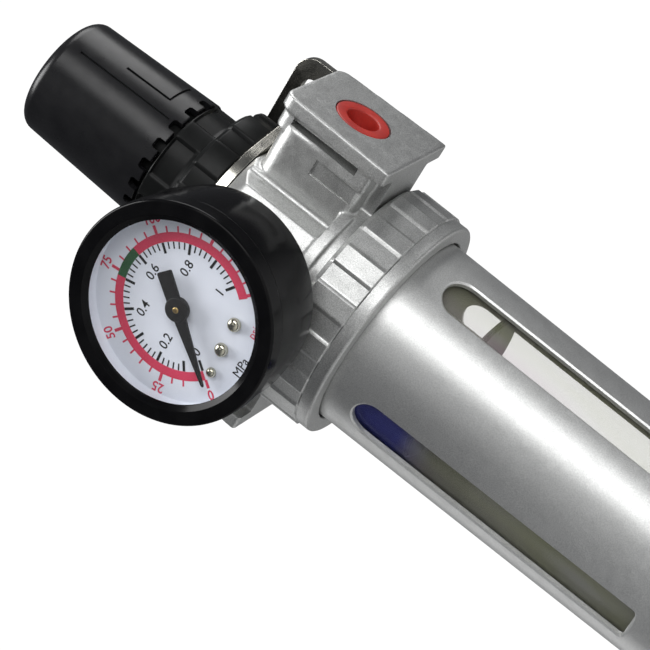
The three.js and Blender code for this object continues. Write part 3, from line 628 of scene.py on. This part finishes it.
def machined(shell):
    """Cuts the crisp-edged pockets, ports and bores."""
    panels = [
        between(side, PANEL_X, LIP_X, y0, y1, PANEL_LOW, PANEL_HIGH)
        for side in (-1, 1) for y0, y1 in ((-26, -PANEL_Y), (PANEL_Y, 26))
    ]
    top_bore = rod(TOP_BORE_R, 7, 20, ROUND)
    outlet_chamber = rod(15, 2.5, 10, ROUND)
    seat_bore = rod(3.6, -6, 5)
    valve_bore = rod(8, -30, -4)
    bowl_bore = rod(BOWL_BORE_R, -30, -17, FINE)
    swirl_chamber = lathe([(11, -18), (22.6, -18), (22.6, -12), (11, -12)], ROUND)
    inlet_drop = move(rod(3, -14, 0), x=-18.8)
    gauge_risers = [move(rod(1.8, -1, 4), y=y) for y in (12.5, -12.5)]
    ports = [
        along_x(rod(PORT_R, -OUTSIDE, INLET_WALL_X)),
        along_x(rod(PORT_R, OUTLET_WALL_X, OUTSIDE)),
        along_x(rod(COUNTERBORE_R, -OUTSIDE, COUNTERBORE_DEPTH - FACE_X, ROUND)),
        along_x(rod(COUNTERBORE_R, FACE_X - COUNTERBORE_DEPTH, OUTSIDE, ROUND)),
        along_y(rod(GAUGE_PORT_R, -OUTSIDE, -GAUGE_PORT_WALL_Y), z=GAUGE_Z),
        along_y(rod(GAUGE_PORT_R, GAUGE_PORT_WALL_Y, OUTSIDE), z=GAUGE_Z),
    ]
    return cut(
        shell, *clamp_slots(-1), *clamp_slots(1), *panels, top_bore, outlet_chamber, seat_bore,
        valve_bore, bowl_bore, swirl_chamber, inlet_drop, *ports, *gauge_risers)


def cast_skin(bm, voxel, passes):
    """Rounds every edge a little, as sand or die casting leaves them."""
    obj = to_object(bm, "casting")
    remesh = obj.modifiers.new("remesh", "REMESH")
    remesh.mode = "VOXEL"
    remesh.voxel_size = voxel
    smooth = obj.modifiers.new("smooth", "SMOOTH")
    smooth.factor = 0.5
    smooth.iterations = passes
    thin = obj.modifiers.new("thin", "DECIMATE")
    thin.ratio = 0.5
    return applied(obj)


VOXEL = 0.36
piece("body_casting", machined(cast_skin(casting(), VOXEL, 2)), CAST, "frame", ["body"],
      sharp=50)

# ---------------------------------------------------------------- bracket
shelf_low, shelf_high = span("mounting_bracket")
SHEET = 2.4
SHELF_FRONT_R = 22.4
BACK_Y = 40  # behind the bracket's leg
BRACKET_SLOT_X, BRACKET_SLOT_Z = 22, 23.2
BONNET_R = span("bonnet")[1].x


def bracket():
    """Bent sheet: a shelf with a round front, and a leg that stands against the wall."""
    half, wall_y, leg_top = shelf_high.x, shelf_high.y, shelf_high.z
    under, over = shelf_low.z, shelf_low.z + SHEET
    bend = fillet([
        (-BACK_Y, under), (wall_y, under, 3.2), (wall_y, leg_top),
        (wall_y - SHEET, leg_top), (wall_y - SHEET, over, 0.8), (-BACK_Y, over),
    ], 8)
    strip = prism(bend, shelf_low.x, half)
    turn = Matrix(((0, 0, 1, 0), (1, 0, 0, 0), (0, 1, 0, 0), (0, 0, 0, 1)))
    bmesh.ops.transform(strip, matrix=turn, verts=strip.verts)
    plan = sweep_arc(0, 0, SHELF_FRONT_R, 200, 340, 40)
    plan += [(half, 20), (half, BACK_Y), (-half, BACK_Y), (-half, 20)]
    elevation = along_y(prism(fillet([
        (-half, 0), (half, 0), (half, leg_top, 5), (-half, leg_top, 5),
    ], 10), -BACK_Y, BACK_Y))
    slots = [
        along_y(prism(rounded_box(9, 5.4, 2.69, 10), -BACK_Y, -20), x=x, z=BRACKET_SLOT_Z)
        for x in (-BRACKET_SLOT_X, BRACKET_SLOT_X)
    ]
    sheet = boolean(strip, "INTERSECT", prism(plan, 0, 50), elevation)
    return cut(sheet, rod(BONNET_R + 0.4, 0, 40, ROUND), *slots)


piece("bent_bracket", bracket(), PLATE, "frame", ["mounting_bracket"], bevel=0.3)

# ---------------------------------------------------------------- ring nut and bonnet
nut_low, nut_high = span("ring_nut")
NUT_BOTTOM, NUT_TOP = nut_low.z, nut_high.z
NUT_HOLE_R = BONNET_R + 0.4
LUGS = 10
LUG_START, LUG_WIDTH = 34, 23  # degrees
LUG_RISE = 0.85


def ramp_step(angle, start, width, slope):
    """1 inside a stretch of angles, 0 outside it, with sloping sides."""
    inside = (angle - start) % 360
    return max(0.0, min(1.0, inside / slope, (width - inside) / slope))


def nut_swell(angle, radius, height):
    if radius < 20.5:
        return 0
    raised = max(ramp_step(angle, LUG_START + k * 360 / LUGS, LUG_WIDTH, 1.3) for k in range(LUGS))
    return -LUG_RISE * (1 - raised)


piece("bonnet_ring_nut", lathe(fillet([
    (NUT_HOLE_R, NUT_BOTTOM, 0.3), (22.2, NUT_BOTTOM, 0.5), (22.2, NUT_TOP - 1.1, 0.5),
    (21.0, NUT_TOP, 0.5), (NUT_HOLE_R, NUT_TOP, 0.4),
], 3), 360, nut_swell), DARK, "frame", ["ring_nut"], sharp=40)

BONNET_BOTTOM, BONNET_TOP = span("bonnet")[0].z, span("bonnet")[1].z
STEM_R = 16.6
WINDOWS = 6


def stem_swell(angle, radius, height):
    """Shallow windows round the bonnet's narrower stem."""
    if abs(radius - STEM_R) > 0.1 or not 27 < height < 33.6:
        return 0
    return -0.7 * max(ramp_step(angle, 6 + k * 360 / WINDOWS, 40, 2) for k in range(WINDOWS))


piece("bonnet_shell", lathe(fillet([
    (15.2, BONNET_BOTTOM, 0.2), (BONNET_R, BONNET_BOTTOM, 0.3), (BONNET_R, 25.2, 0.5), (STEM_R, 25.8, 0.3),
    (STEM_R, 27.6), (STEM_R, 28.0), (STEM_R, 33.0), (STEM_R, 33.4),
    (STEM_R, 34.2, 0.4), (14.4, 34.2, 0.3), (14.4, BONNET_TOP, 1.0), (4.4, BONNET_TOP, 0.3), (4.4, 57, 0.3),
    (12.6, 57, 1.0), (12.6, 29, 1.0), (15.2, 26, 1.0),
], 3), 288, stem_swell), DARK, "frame", ["bonnet"], sharp=40)

# ---------------------------------------------------------------- knob
knob_low, knob_high = span("adjusting_knob")
KNOB_BOTTOM, KNOB_TOP = knob_low.z, knob_high.z
KNOB_R_BOTTOM, KNOB_R_TOP = knob_high.x, 15.6
KNOB_EDGE = 3.0
KNOB_GAPS = 18  # between the teeth round its lower edge


def knob_radius(z):
    share = (z - KNOB_BOTTOM) / (KNOB_TOP - KNOB_EDGE - KNOB_BOTTOM)
    return KNOB_R_BOTTOM + (KNOB_R_TOP - KNOB_R_BOTTOM) * share


def knob():
    floor_z, ceiling_z = 61.5, KNOB_TOP - 3.6
    shell = lathe(fillet([
        (0, KNOB_TOP), (KNOB_R_TOP, KNOB_TOP, KNOB_EDGE), (KNOB_R_BOTTOM, KNOB_BOTTOM, 0.35),
        (15.3, KNOB_BOTTOM, 0.3), (14.9, 62, 0.8), (13.4, 63.5, 0.8), (13.4, ceiling_z, 0.8),
        (6.8, ceiling_z, 0.8), (6.8, floor_z, 0.4), (0, floor_z),
    ], 8), FINE)
    screw_socket = prism(hexagon(5.2), 60, KNOB_TOP - 3.2)
    gap = [(-1.45, 33), (1.45, 33), (1.45, 36.5), (0.95, 37), (-0.95, 37), (-1.45, 36.5)]
    through = ((-4, 0), (1, 0))
    gaps = [wrapped(gap, 11 + k * 360 / KNOB_GAPS, through, knob_radius) for k in range(KNOB_GAPS)]
    shallow = ((-0.5, 0), (-0.05, 0), (0.3, 0.3))
    long_slit = [(-0.22, 38), (0.22, 38), (0.22, 66), (-0.22, 66)]
    upright = [(-0.3, 41.8), (0.3, 41.8), (0.3, 55), (-0.3, 55)]
    level = divided([(-4.6, 41.2), (4.6, 41.2), (4.6, 41.8), (-4.6, 41.8)], 0.8)
    slits = [
        wrapped(outline, angle + half_turn, shallow, knob_radius)
        for half_turn in (0, 180) for outline, angle in ((long_slit, 52.5), (upright, 68), (level, 83))
    ]
    return cut(shell, screw_socket, *gaps, *slits)


piece("pressure_knob", knob(), BLACK, "knob", ["adjusting_knob"], turned=True)

# ---------------------------------------------------------------- collar, guard and bowl
collar_low, collar_high = span("collar")
COLLAR_TOP, COLLAR_BOTTOM = collar_high.z, collar_low.z
BAND_TOP = -28.7  # of the plain band under the ribs
RIBS_FROM_R = 30.35
RIB_PITCH, RIB_SHIFT = 10, 2.6  # degrees
RIB_DEPTH = 0.45


def collar_swell(angle, radius, height):
    """Raised and sunk flats alternate round the grip."""
    if radius < RIBS_FROM_R:
        return 0
    half = RIB_PITCH / 2
    inside = (angle + RIB_SHIFT) % RIB_PITCH - half
    flat = radius / math.cos(math.radians(inside)) * math.cos(math.radians(half)) - radius
    low = int(((angle + RIB_SHIFT) % 360) // RIB_PITCH) % 2
    edge = max(0.0, 1 - (half - abs(inside)) / 0.8)
    return flat - RIB_DEPTH * (low * (1 - edge / 2) + (1 - low) * edge / 2)


piece("bowl_collar", lathe(fillet([
    (27.7, -28, 0.2), (26.05, -28, 0.2), (26.05, COLLAR_BOTTOM, 0.3), (30.3, COLLAR_BOTTOM, 0.7),
    (30.3, BAND_TOP - 0.3, 0.2), (30.9, BAND_TOP, 0.3), (31.0, -17.9, 0.4), (29.6, COLLAR_TOP, 0.5),
    (27.7, COLLAR_TOP, 0.4),
], 3), 720, collar_swell), CAST, "collar", ["collar"], sharp=14)

GUARD_WALL = 1.3
GUARD_R_TOP, GUARD_R_BOTTOM = 25.55, 24.37
TAPER_TOP, TAPER_END = -30, -133
GUARD_BOTTOM = span("bowl_guard")[0].z
GUARD_SLOTS = (-22, 68, 170)  # front left, front right and back, in degrees
GUARD_SLOT_TOP, GUARD_SLOT_BOTTOM = -40, -119.4
GUARD_SLOT_HALF = 5.25


def guard_radius(z):
    share = (z - TAPER_TOP) / (TAPER_END - TAPER_TOP)
    return GUARD_R_TOP + (GUARD_R_BOTTOM - GUARD_R_TOP) * max(0.0, share)


def guard():
    wall = GUARD_WALL
    shell = lathe(fillet([
        (27.3, -25.5, 0.2), (27.3, -27.7, 0.2), (GUARD_R_TOP, -27.7), (GUARD_R_TOP, TAPER_TOP),
        (GUARD_R_BOTTOM, TAPER_END), (GUARD_R_BOTTOM, GUARD_BOTTOM, 11.0), (13, GUARD_BOTTOM, 0.3),
        (13, GUARD_BOTTOM + wall, 0.3), (GUARD_R_BOTTOM - wall, GUARD_BOTTOM + wall, 9.7),
        (GUARD_R_BOTTOM - wall, TAPER_END), (GUARD_R_TOP - wall, TAPER_TOP), (GUARD_R_TOP - wall, -25.5, 0.2),
    ], 10), FINE)
    half, top, end, corner = GUARD_SLOT_HALF, GUARD_SLOT_TOP, GUARD_SLOT_BOTTOM, 1.2
    outline = [(half, end + corner), (half, top - half)]
    outline += sweep_arc(0, top - half, half, 0, 180, 20)[1:-1]
    outline += [(-half, top - half), (-half, end + corner)]
    outline += sweep_arc(-half + corner, end + corner, corner, 180, 270, 4)[1:]
    outline += sweep_arc(half - corner, end + corner, corner, 270, 360, 4)[:-1]
    layers = ((-4, 0), (-0.42, 0), (0.05, 0.42), (1.5, 1.9))
    return cut(shell, *[wrapped(outline, phi, layers, guard_radius) for phi in GUARD_SLOTS])


piece("bowl_guard_shell", guard(), SILVER, "bowl_unit", ["bowl_guard"], turned=True)

bowl_low, bowl_high = span("bowl")
BOWL_FLOOR = bowl_low.z
BOWL_WALL = 2.2
piece("sight_bowl", lathe(fillet([
    (23.5, bowl_high.z, 0.3), (23.5, -22.9, 0.3), (26.4, -22.9, 0.3), (26.4, -25.2, 0.4), (23.7, -25.2, 0.3),
    (22.6, -120), (22.0, BOWL_FLOOR, 10), (5.4, BOWL_FLOOR, 0.3), (5.4, BOWL_FLOOR + BOWL_WALL, 0.3),
    (20.6, BOWL_FLOOR + BOWL_WALL, 8.6), (21, -118), (21.9, bowl_high.z, 0.3),
], 8), ROUND), BOWL, "bowl_unit", ["bowl"], sharp=50)

baffle_low, baffle_high = span("baffle")
BAFFLE_R, BAFFLE_Z = baffle_high.x, -53.7
piece("quiet_zone_baffle", lathe(fillet([
    (0, baffle_low.z), (6.0, baffle_low.z, 1.2), (6.5, -54.6, 0.8), (BAFFLE_R - 1, BAFFLE_Z - 0.9, 0.2),
    (BAFFLE_R, BAFFLE_Z - 0.4, 0.3), (BAFFLE_R, BAFFLE_Z + 0.4, 0.3), (13, BAFFLE_Z + 0.8, 0.4),
    (6.5, -52.8, 0.2), (3.3, -52.8, 0.2), (3.3, -57), (0, -57),
], 4), ROUND), BLACK, "frame", ["baffle"], sharp=40)

# ---------------------------------------------------------------- filter and drain
element_low, element_high = span("filter_element")
piece("sintered_element", lathe(fillet([
    (8.5, element_low.z, 0.4), (12.2, element_low.z, 0.6),
    (12.2, element_high.z, 0.6), (8.5, element_high.z, 0.4),
], 3), ROUND), FILTER, "frame", ["filter_element"], sharp=50)

LOUVRES, LOUVRE_SLANT = 12, 50


def deflector():
    """A dished disc whose slanted louvres set the air spinning."""
    disc = lathe(fillet([
        (6.9, -21.9, 0.2), (13, -21.9, 1), (20.6, -24.4, 0.3), (20.6, -23.2, 0.3),
        (13, -20.3, 1), (6.9, -20.3, 0.2),
    ], 4), ROUND)
    louvres = []
    for k in range(LOUVRES):
        slot = move(block(-3, 3, -0.65, 0.65, -6, 6), x=17.5, z=-22.5, turn=LOUVRE_SLANT, axis="X")
        louvres.append(move(slot, turn=k * 360 / LOUVRES))
    return cut(disc, *louvres)


piece("louvred_deflector", deflector(), BLUE, "frame", ["swirl_deflector"], sharp=35)

DRAIN_BOTTOM = span("drain_knob")[0].z
GRIP_R, GRIP_ROOT_R = 10.4, 9.9
GROOVES = 16


def knurl(angle, radius, height):
    """Round-bottomed grooves up the side of the drain knob."""
    if radius < GRIP_ROOT_R:
        return 0
    inside = angle * GROOVES / 360 % 1
    fade = min(1.0, (radius - GRIP_ROOT_R) / (GRIP_R - GRIP_ROOT_R))
    return -0.75 * max(0.0, math.sin(math.pi * inside)) ** 4 * fade


piece("drain_grip", lathe(fillet([
    (1.9, DRAIN_BOTTOM, 0.2), (2.6, DRAIN_BOTTOM, 0.2), (3.4, -156.5, 0.3), (9.7, -156.5, 0.4),
    (GRIP_R, -155.6, 0.4), (GRIP_R, -143.6, 0.4), (9.8, -143, 0.3), (5.4, -143, 0.3), (5.4, -151.6, 0.2),
    (1.9, -151.6, 0.2),
], 3), 256, knurl), BLACK, "drain_knob", ["drain_knob"], sharp=40)


def hexagonal(across, z0, z1, bore):
    """A hexagonal nut with its corners turned down, and a bore."""
    flat = across / 2
    corner = flat / math.cos(math.radians(30))
    turned_down = lathe([
        (0, z0), (flat, z0), (corner, z0 + 0.6), (corner, z1 - 0.6), (flat, z1), (0, z1),
    ], ROUND)
    return cut(boolean(prism(hexagon(corner), z0, z1), "INTERSECT", turned_down), rod(bore, z0 - 1, z1 + 1))


drain_nut_low, drain_nut_high = span("drain_nut")
piece("drain_hex_nut", hexagonal(16, drain_nut_low.z, drain_nut_high.z, 5.4), BRASS, "bowl_unit",
      ["drain_nut"], bevel=0.15)


# ---------------------------------------------------------------- port plugs
def port_plug(side):
    """A soft flanged shipping cup, flush with the end face."""
    cup = lathe(fillet([
        (0, -9), (5.0, -9, 0.5), (5.3, -1.5, 0.2), (7, -1.5, 0.3), (7, 0, 0.35), (4.2, 0, 0.45),
        (3.5, -7.5, 0.5), (0, -7.5),
    ], 5), ROUND)
    outlet = move(along_x(cup), x=FACE_X)
    return outlet if side > 0 else move(outlet, turn=180)


piece("outlet_red_plug", port_plug(1), RED, "outlet_plug", ["outlet_port_plug"], sharp=50)
piece("inlet_red_plug", port_plug(-1), RED, "inlet_plug", ["inlet_port_plug"], sharp=50)

# ---------------------------------------------------------------- gauge
# Gauge shapes are drawn with z towards the reader and y up, from the gauge's centre line.
GAUGE = Matrix.Translation((0, 0, GAUGE_Z)) @ Matrix.Rotation(math.radians(90), 4, "X")
GAUGE_FRONT = -bezel_low.y
GAUGE_BACK = 33.4
BEZEL_R = bezel_high.x
OPENING_R = 21.2
SOCKET_R = 6.6

piece("gauge_can", lathe(fillet([
    (SOCKET_R, GAUGE_BACK, 0.2), (24.0, GAUGE_BACK, 1.3), (25.4, 42), (25.7, 52, 0.2), (23.9, 52, 0.2),
    (23.6, 42), (22.4, GAUGE_BACK + 1.6, 1.0), (SOCKET_R, GAUGE_BACK + 1.6, 0.2),
], 6), FINE), GAUGE_BLACK, "frame", ["gauge_case"], turned=True, placement=GAUGE)
piece("gauge_snap_ring", lathe(fillet([
    (24.3, 52.3, 0.2), (BEZEL_R, 52.3, 0.35), (BEZEL_R, GAUGE_FRONT, 0.7), (22.6, GAUGE_FRONT, 0.5),
    (OPENING_R, GAUGE_FRONT - 0.9, 0.3), (OPENING_R, 55.8, 0.2), (24.3, 55.8, 0.2),
], 5), FINE), GAUGE_BLACK, "frame", ["gauge_bezel"], turned=True, placement=GAUGE)
piece("gauge_window", lathe(fillet([(0, 54.4), (24, 54.4, 0.2), (24, 55.5, 0.2), (0, 55.5)], 3), ROUND), LENS,
      "frame", ["gauge_lens"], sharp=50, placement=GAUGE)

DIAL_FRONT = -span("gauge_dial")[0].y
RIM_TOP = DIAL_FRONT + 2.9
SCREW_SPOTS = ((5.24, -12.65), (-1.84, -13.05))
PIN_SPOT = (-8.1, -13.7)


def dial_plate():
    """The dial's white disc, with a turned-up rim that stands inside the case."""
    blank_disc = lathe([
        (0, DIAL_FRONT - 0.6), (23.45, DIAL_FRONT - 0.6), (23.45, RIM_TOP), (23.1, RIM_TOP),
        (22.6, DIAL_FRONT + 0.6), (22.2, DIAL_FRONT), (0, DIAL_FRONT),
    ], ROUND)
    holes = [rod(1.6, 49, 53)] + [move(rod(1.1, 49, 53), x=x, y=y) for x, y in SCREW_SPOTS]
    return cut(blank_disc, *holes, move(rod(0.95, 49, 53), x=PIN_SPOT[0], y=PIN_SPOT[1]))


piece("dial_plate", dial_plate(), DIAL, "frame", ["gauge_dial"], placement=GAUGE)

INK_DEPTH = 0.05
INK_SPREAD = 0.016  # how far each stroke of the lettering swells, as a share of its size
ZERO, SCALE_END = -141.2, 134.4  # clockwise from twelve, in degrees
MPA_SWEEP = 272.7  # degrees for each megapascal
MID_SCALE, MID_SCALE_ANGLE = 0.6, 13.9
PSI_PER_MPA = 145.04
BAND_IN, BAND_OUT = 15.05, 17.2
GREEN_CENTRE, GREEN_HALF = 0.75, 13.4


def dial_angle(mpa):
    """Clock angle of a pressure. Zero sits by the stop pin, further on than an even scale would put it."""
    return ZERO if mpa <= 0 else MID_SCALE_ANGLE + (mpa - MID_SCALE) * MPA_SWEEP


def tick(angle, r0, r1, width):
    bar = block(-width / 2, width / 2, r0, r1, DIAL_FRONT, DIAL_FRONT + INK_DEPTH)
    return move(bar, turn=-angle)


def band(start, end, steps=60):
    """A stretch of the ring between the two scales, from one clock angle to another."""
    a, b = 90 - start, 90 - end
    outline = sweep_arc(0, 0, BAND_OUT, a, b, steps) + sweep_arc(0, 0, BAND_IN, b, a, steps)
    return prism(outline, DIAL_FRONT, DIAL_FRONT + INK_DEPTH)


def lettering(text, x, y, size, turn=0.0, squeeze=1.0, swell=INK_SPREAD):
    """Generic dial wording, as thin solid ink, centred on a point and turned clockwise."""
    curve = bpy.data.curves.new("lettering", "FONT")
    curve.body = text
    curve.size = size
    curve.extrude = INK_DEPTH / 2
    curve.offset = size * swell
    curve.align_x, curve.align_y = "CENTER", "CENTER"
    curve.resolution_u = 3
    obj = bpy.data.objects.new("lettering", curve)
    bpy.context.scene.collection.objects.link(obj)
    bm = applied(obj)
    bpy.data.curves.remove(curve)
    bmesh.ops.scale(bm, vec=(squeeze, 1, 1), verts=bm.verts)
    return move(bm, x=x, y=y, z=DIAL_FRONT + INK_DEPTH / 2, turn=-turn)


def polar(angle, radius):
    """Where a clock angle and a radius meet on the dial."""
    a = math.radians(angle)
    return radius * math.sin(a), radius * math.cos(a)


def black_marks():
    marks = [tick(dial_angle(k / 10), 12.5, 15.0, 0.64) for k in range(11)]
    marks += [tick(dial_angle(k / 50), 13.4, 15.0, 0.33) for k in range(5, 50) if k % 5]
    for mpa, radius in ((0, 10.6), (0.2, 9.5), (0.4, 10.0), (0.6, 10.2), (0.8, 9.3), (1, 10.9)):
        x, y = polar(dial_angle(mpa), radius)
        marks.append(lettering(str(mpa), x, y, 3.2, swell=0.006))
    marks.append(lettering("MPa", -2.55, -18.9, 3.0, swell=0))
    return merged(*marks)


def red_marks():
    marks = []
    for psi in (0, *range(15, 151, 5)):
        labelled = psi % 25 == 0
        angle = dial_angle(psi / PSI_PER_MPA)
        marks.append(tick(angle, BAND_OUT, 19.2 if labelled else 18.6, 0.72 if labelled else 0.42))
        if labelled:
            x, y = polar(angle, 20.7)
            marks.append(lettering(str(psi), x, y, 3.3, turn=angle, squeeze=0.92))
    marks.append(lettering("psi", 6.45, -17.3, 2.6, swell=0))
    return merged(*marks)


piece("dial_black_marks", black_marks(), INK, "frame", placement=GAUGE)
piece("dial_red_marks", red_marks(), RED_INK, "frame", placement=GAUGE)
piece("dial_red_band", merged(
    band(ZERO, GREEN_CENTRE - GREEN_HALF), band(GREEN_CENTRE + GREEN_HALF, SCALE_END),
), RED_INK, "frame", placement=GAUGE)
piece("dial_green_band", band(GREEN_CENTRE - GREEN_HALF, GREEN_CENTRE + GREEN_HALF, 16), GREEN_INK, "frame",
      placement=GAUGE)


def dome_screw(shank, head, low):
    """A fastener whose plain domed head stands on the dial."""
    under, rim, rise = DIAL_FRONT + 0.3, DIAL_FRONT + 0.5, head * 0.8
    angles = [math.radians(a) for a in range(0, 90, 10)]
    dome = [(head * math.cos(a), rim + rise * math.sin(a)) for a in angles]
    return lathe([(0, low), (shank, low), (shank, under), (head, under), *dome, (0, rim + rise)], 40)


for number, (x, y) in enumerate(SCREW_SPOTS, 1):
    screw = move(dome_screw(0.8, 1.65, 47), x=x, y=y)
    piece(f"dial_screw_head_{number}", screw, SCREW_PLATE, "frame", [f"dial_screw_{number}"],
          placement=GAUGE)
stop_pin = move(dome_screw(0.65, 1.2, 49.5), x=PIN_SPOT[0], y=PIN_SPOT[1])
piece("pointer_stop", stop_pin, SCREW_PLATE, "frame", ["pointer_stop_pin"], placement=GAUGE)

POINTER_LEVEL = 53.3
POINTER_THICKNESS = 0.5
ARBOR_LOW = 40.5


def pointer():
    """The tapered pointer with its tail, boss, arbor and pinion."""
    arm = fillet([
        (-1.7, 0), (-0.3, 17.9, 0.2), (0, 18.4, 0.1), (0.3, 17.9, 0.2),
        (1.7, 0), (1.9, -9, 0.4), (-1.9, -9, 0.4),
    ], 4)
    half = POINTER_THICKNESS / 2
    blade = move(prism(arm, POINTER_LEVEL - half, POINTER_LEVEL + half), turn=-ZERO)
    boss = lathe(fillet([(0, 52.4), (2.9, 52.4, 0.2), (2.9, 53.9, 0.35), (1.0, 53.9), (0, 53.9)], 4), SMALL)
    return join(blade, boss, rod(0.8, ARBOR_LOW, 53, 24), rod(1.3, 44.2, 46.4, 24))


piece("gauge_pointer", pointer(), INK, "pointer", ["pointer"], placement=GAUGE, bevel=0.08)
piece("pointer_arbor_tip", lathe(fillet([
    (0, 53.4), (0.75, 53.4), (0.75, 54.15, 0.25), (0, 54.2),
], 4), 32), BRASS, "pointer", placement=GAUGE)

# ---------------------------------------------------------------- CAD nodes that keep their shape
FINISHES = {
    BRASS: ("thrust_washer", "spring_nut", "relief_seat", "valve", "valve_guide", "filter_stud", "drain_body",
            "movement_frame", "sector_gear", "bourdon_tube", "gauge_socket"),
    STEEL: ("adjusting_screw", "diaphragm_plate", "drain_needle", "rear_gauge_port_plug"),
    WIRE: ("main_spring", "valve_spring"),
    RUBBER: ("diaphragm", "valve_seal", "bowl_o_ring", "drain_o_ring"),
    TAPE: ("gauge_port_seal",),
}
for material, names in FINISHES.items():
    for name in names:
        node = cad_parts[name]
        node.data.materials.clear()
        node.data.materials.append(material)

# ---------------------------------------------------------------- stage, light and camera
AIM = Vector((0, -17.1, -22.3))
CAMERA_AZIMUTH, CAMERA_ELEVATION, CAMERA_ROLL = 29.46, -12.01, -51.4
CAMERA_DISTANCE = 592.5
LENS_LENGTH, SENSOR_WIDTH = 141.7, 36
ROOM_COLOUR, ROOM_STRENGTH = (0.9, 0.93, 1, 1), 0.085
BACKDROP_COLOUR, BACKDROP_STRENGTH = (1, 1, 1, 1), 1.05
LAMPS = (  # azimuth, elevation, distance, width, height, power
    ("front", 48, 11, 0.75, 0.30, 0.6, 2.8),
    ("face", 8, 14, 0.85, 0.3, 0.4, 0.22),
    ("top", -20, 66, 0.8, 0.5, 0.4, 6.6),
    ("over", 122, 38, 0.85, 0.6, 0.5, 4.2),
    ("left", -104, 0, 0.9, 0.5, 0.4, 0.6),
)


def world_point(v):
    return ORIGIN + Vector(v) * MM


def direction(azimuth, elevation):
    """Unit vector from the object: azimuth 0 is the gauge side, 90 the outlet side."""
    a, e = math.radians(azimuth), math.radians(elevation)
    return Vector((math.sin(a) * math.cos(e), -math.cos(a) * math.cos(e), math.sin(e)))


def make_camera():
    data = bpy.data.cameras.new("camera")
    data.lens, data.sensor_width = LENS_LENGTH, SENSOR_WIDTH
    data.clip_start, data.clip_end = 0.01, 20
    camera = bpy.data.objects.new("camera", data)
    bpy.context.scene.collection.objects.link(camera)
    back = direction(CAMERA_AZIMUTH, CAMERA_ELEVATION)
    level = (-back).to_track_quat("-Z", "Y").to_matrix().to_4x4()
    camera.matrix_world = (
        Matrix.Translation(world_point(AIM + back * CAMERA_DISTANCE)) @ level
        @ Matrix.Rotation(math.radians(CAMERA_ROLL), 4, "Z"))
    bpy.context.scene.camera = camera


def softbox(name, azimuth, elevation, distance, width, height, power):
    """A rectangular lamp that faces the object; distance and size are in metres, power in watts."""
    data = bpy.data.lights.new(name, "AREA")
    data.shape, data.size, data.size_y = "RECTANGLE", width, height
    data.energy = power
    light = bpy.data.objects.new(name, data)
    bpy.context.scene.collection.objects.link(light)
    out = direction(azimuth, elevation)
    light.matrix_world = (
        Matrix.Translation(world_point(AIM) + out * distance)
        @ (-out).to_track_quat("-Z", "Y").to_matrix().to_4x4())


def studio():
    """White backdrop to the eye, and a dim room to everything that reflects it."""
    world = bpy.data.worlds.new("studio")
    world.use_nodes = True
    bpy.context.scene.world = world
    tree = world.node_tree
    tree.nodes.clear()
    room = tree.nodes.new("ShaderNodeBackground")
    room.inputs["Color"].default_value = ROOM_COLOUR
    room.inputs["Strength"].default_value = ROOM_STRENGTH
    backdrop = tree.nodes.new("ShaderNodeBackground")
    backdrop.inputs["Color"].default_value = BACKDROP_COLOUR
    backdrop.inputs["Strength"].default_value = BACKDROP_STRENGTH
    path = tree.nodes.new("ShaderNodeLightPath")
    mix = tree.nodes.new("ShaderNodeMixShader")
    output = tree.nodes.new("ShaderNodeOutputWorld")
    tree.links.new(path.outputs["Is Camera Ray"], mix.inputs["Fac"])
    tree.links.new(room.outputs["Background"], mix.inputs[1])
    tree.links.new(backdrop.outputs["Background"], mix.inputs[2])
    tree.links.new(mix.outputs["Shader"], output.inputs["Surface"])
    for lamp in LAMPS:
        softbox(*lamp)


FLOOR_DROP, FLOOR_REACH = 0.09, 3  # metres


def floor():
    """A plain pale floor, low enough to leave room for the bowl to come off."""
    z = cad_box[0].z - FLOOR_DROP
    corners = [(x * FLOOR_REACH, y * FLOOR_REACH, z) for x, y in ((-1, -1), (1, -1), (1, 1), (-1, 1))]
    mesh = bpy.data.meshes.new("floor")
    mesh.from_pydata(corners, [], [(0, 1, 2, 3)])
    mesh.materials.append(FLOOR_PAINT)
    obj = bpy.data.objects.new("floor", mesh)
    bpy.context.scene.collection.objects.link(obj)


make_camera()
studio()
floor()
bpy.context.scene.view_settings.view_transform = "Standard"
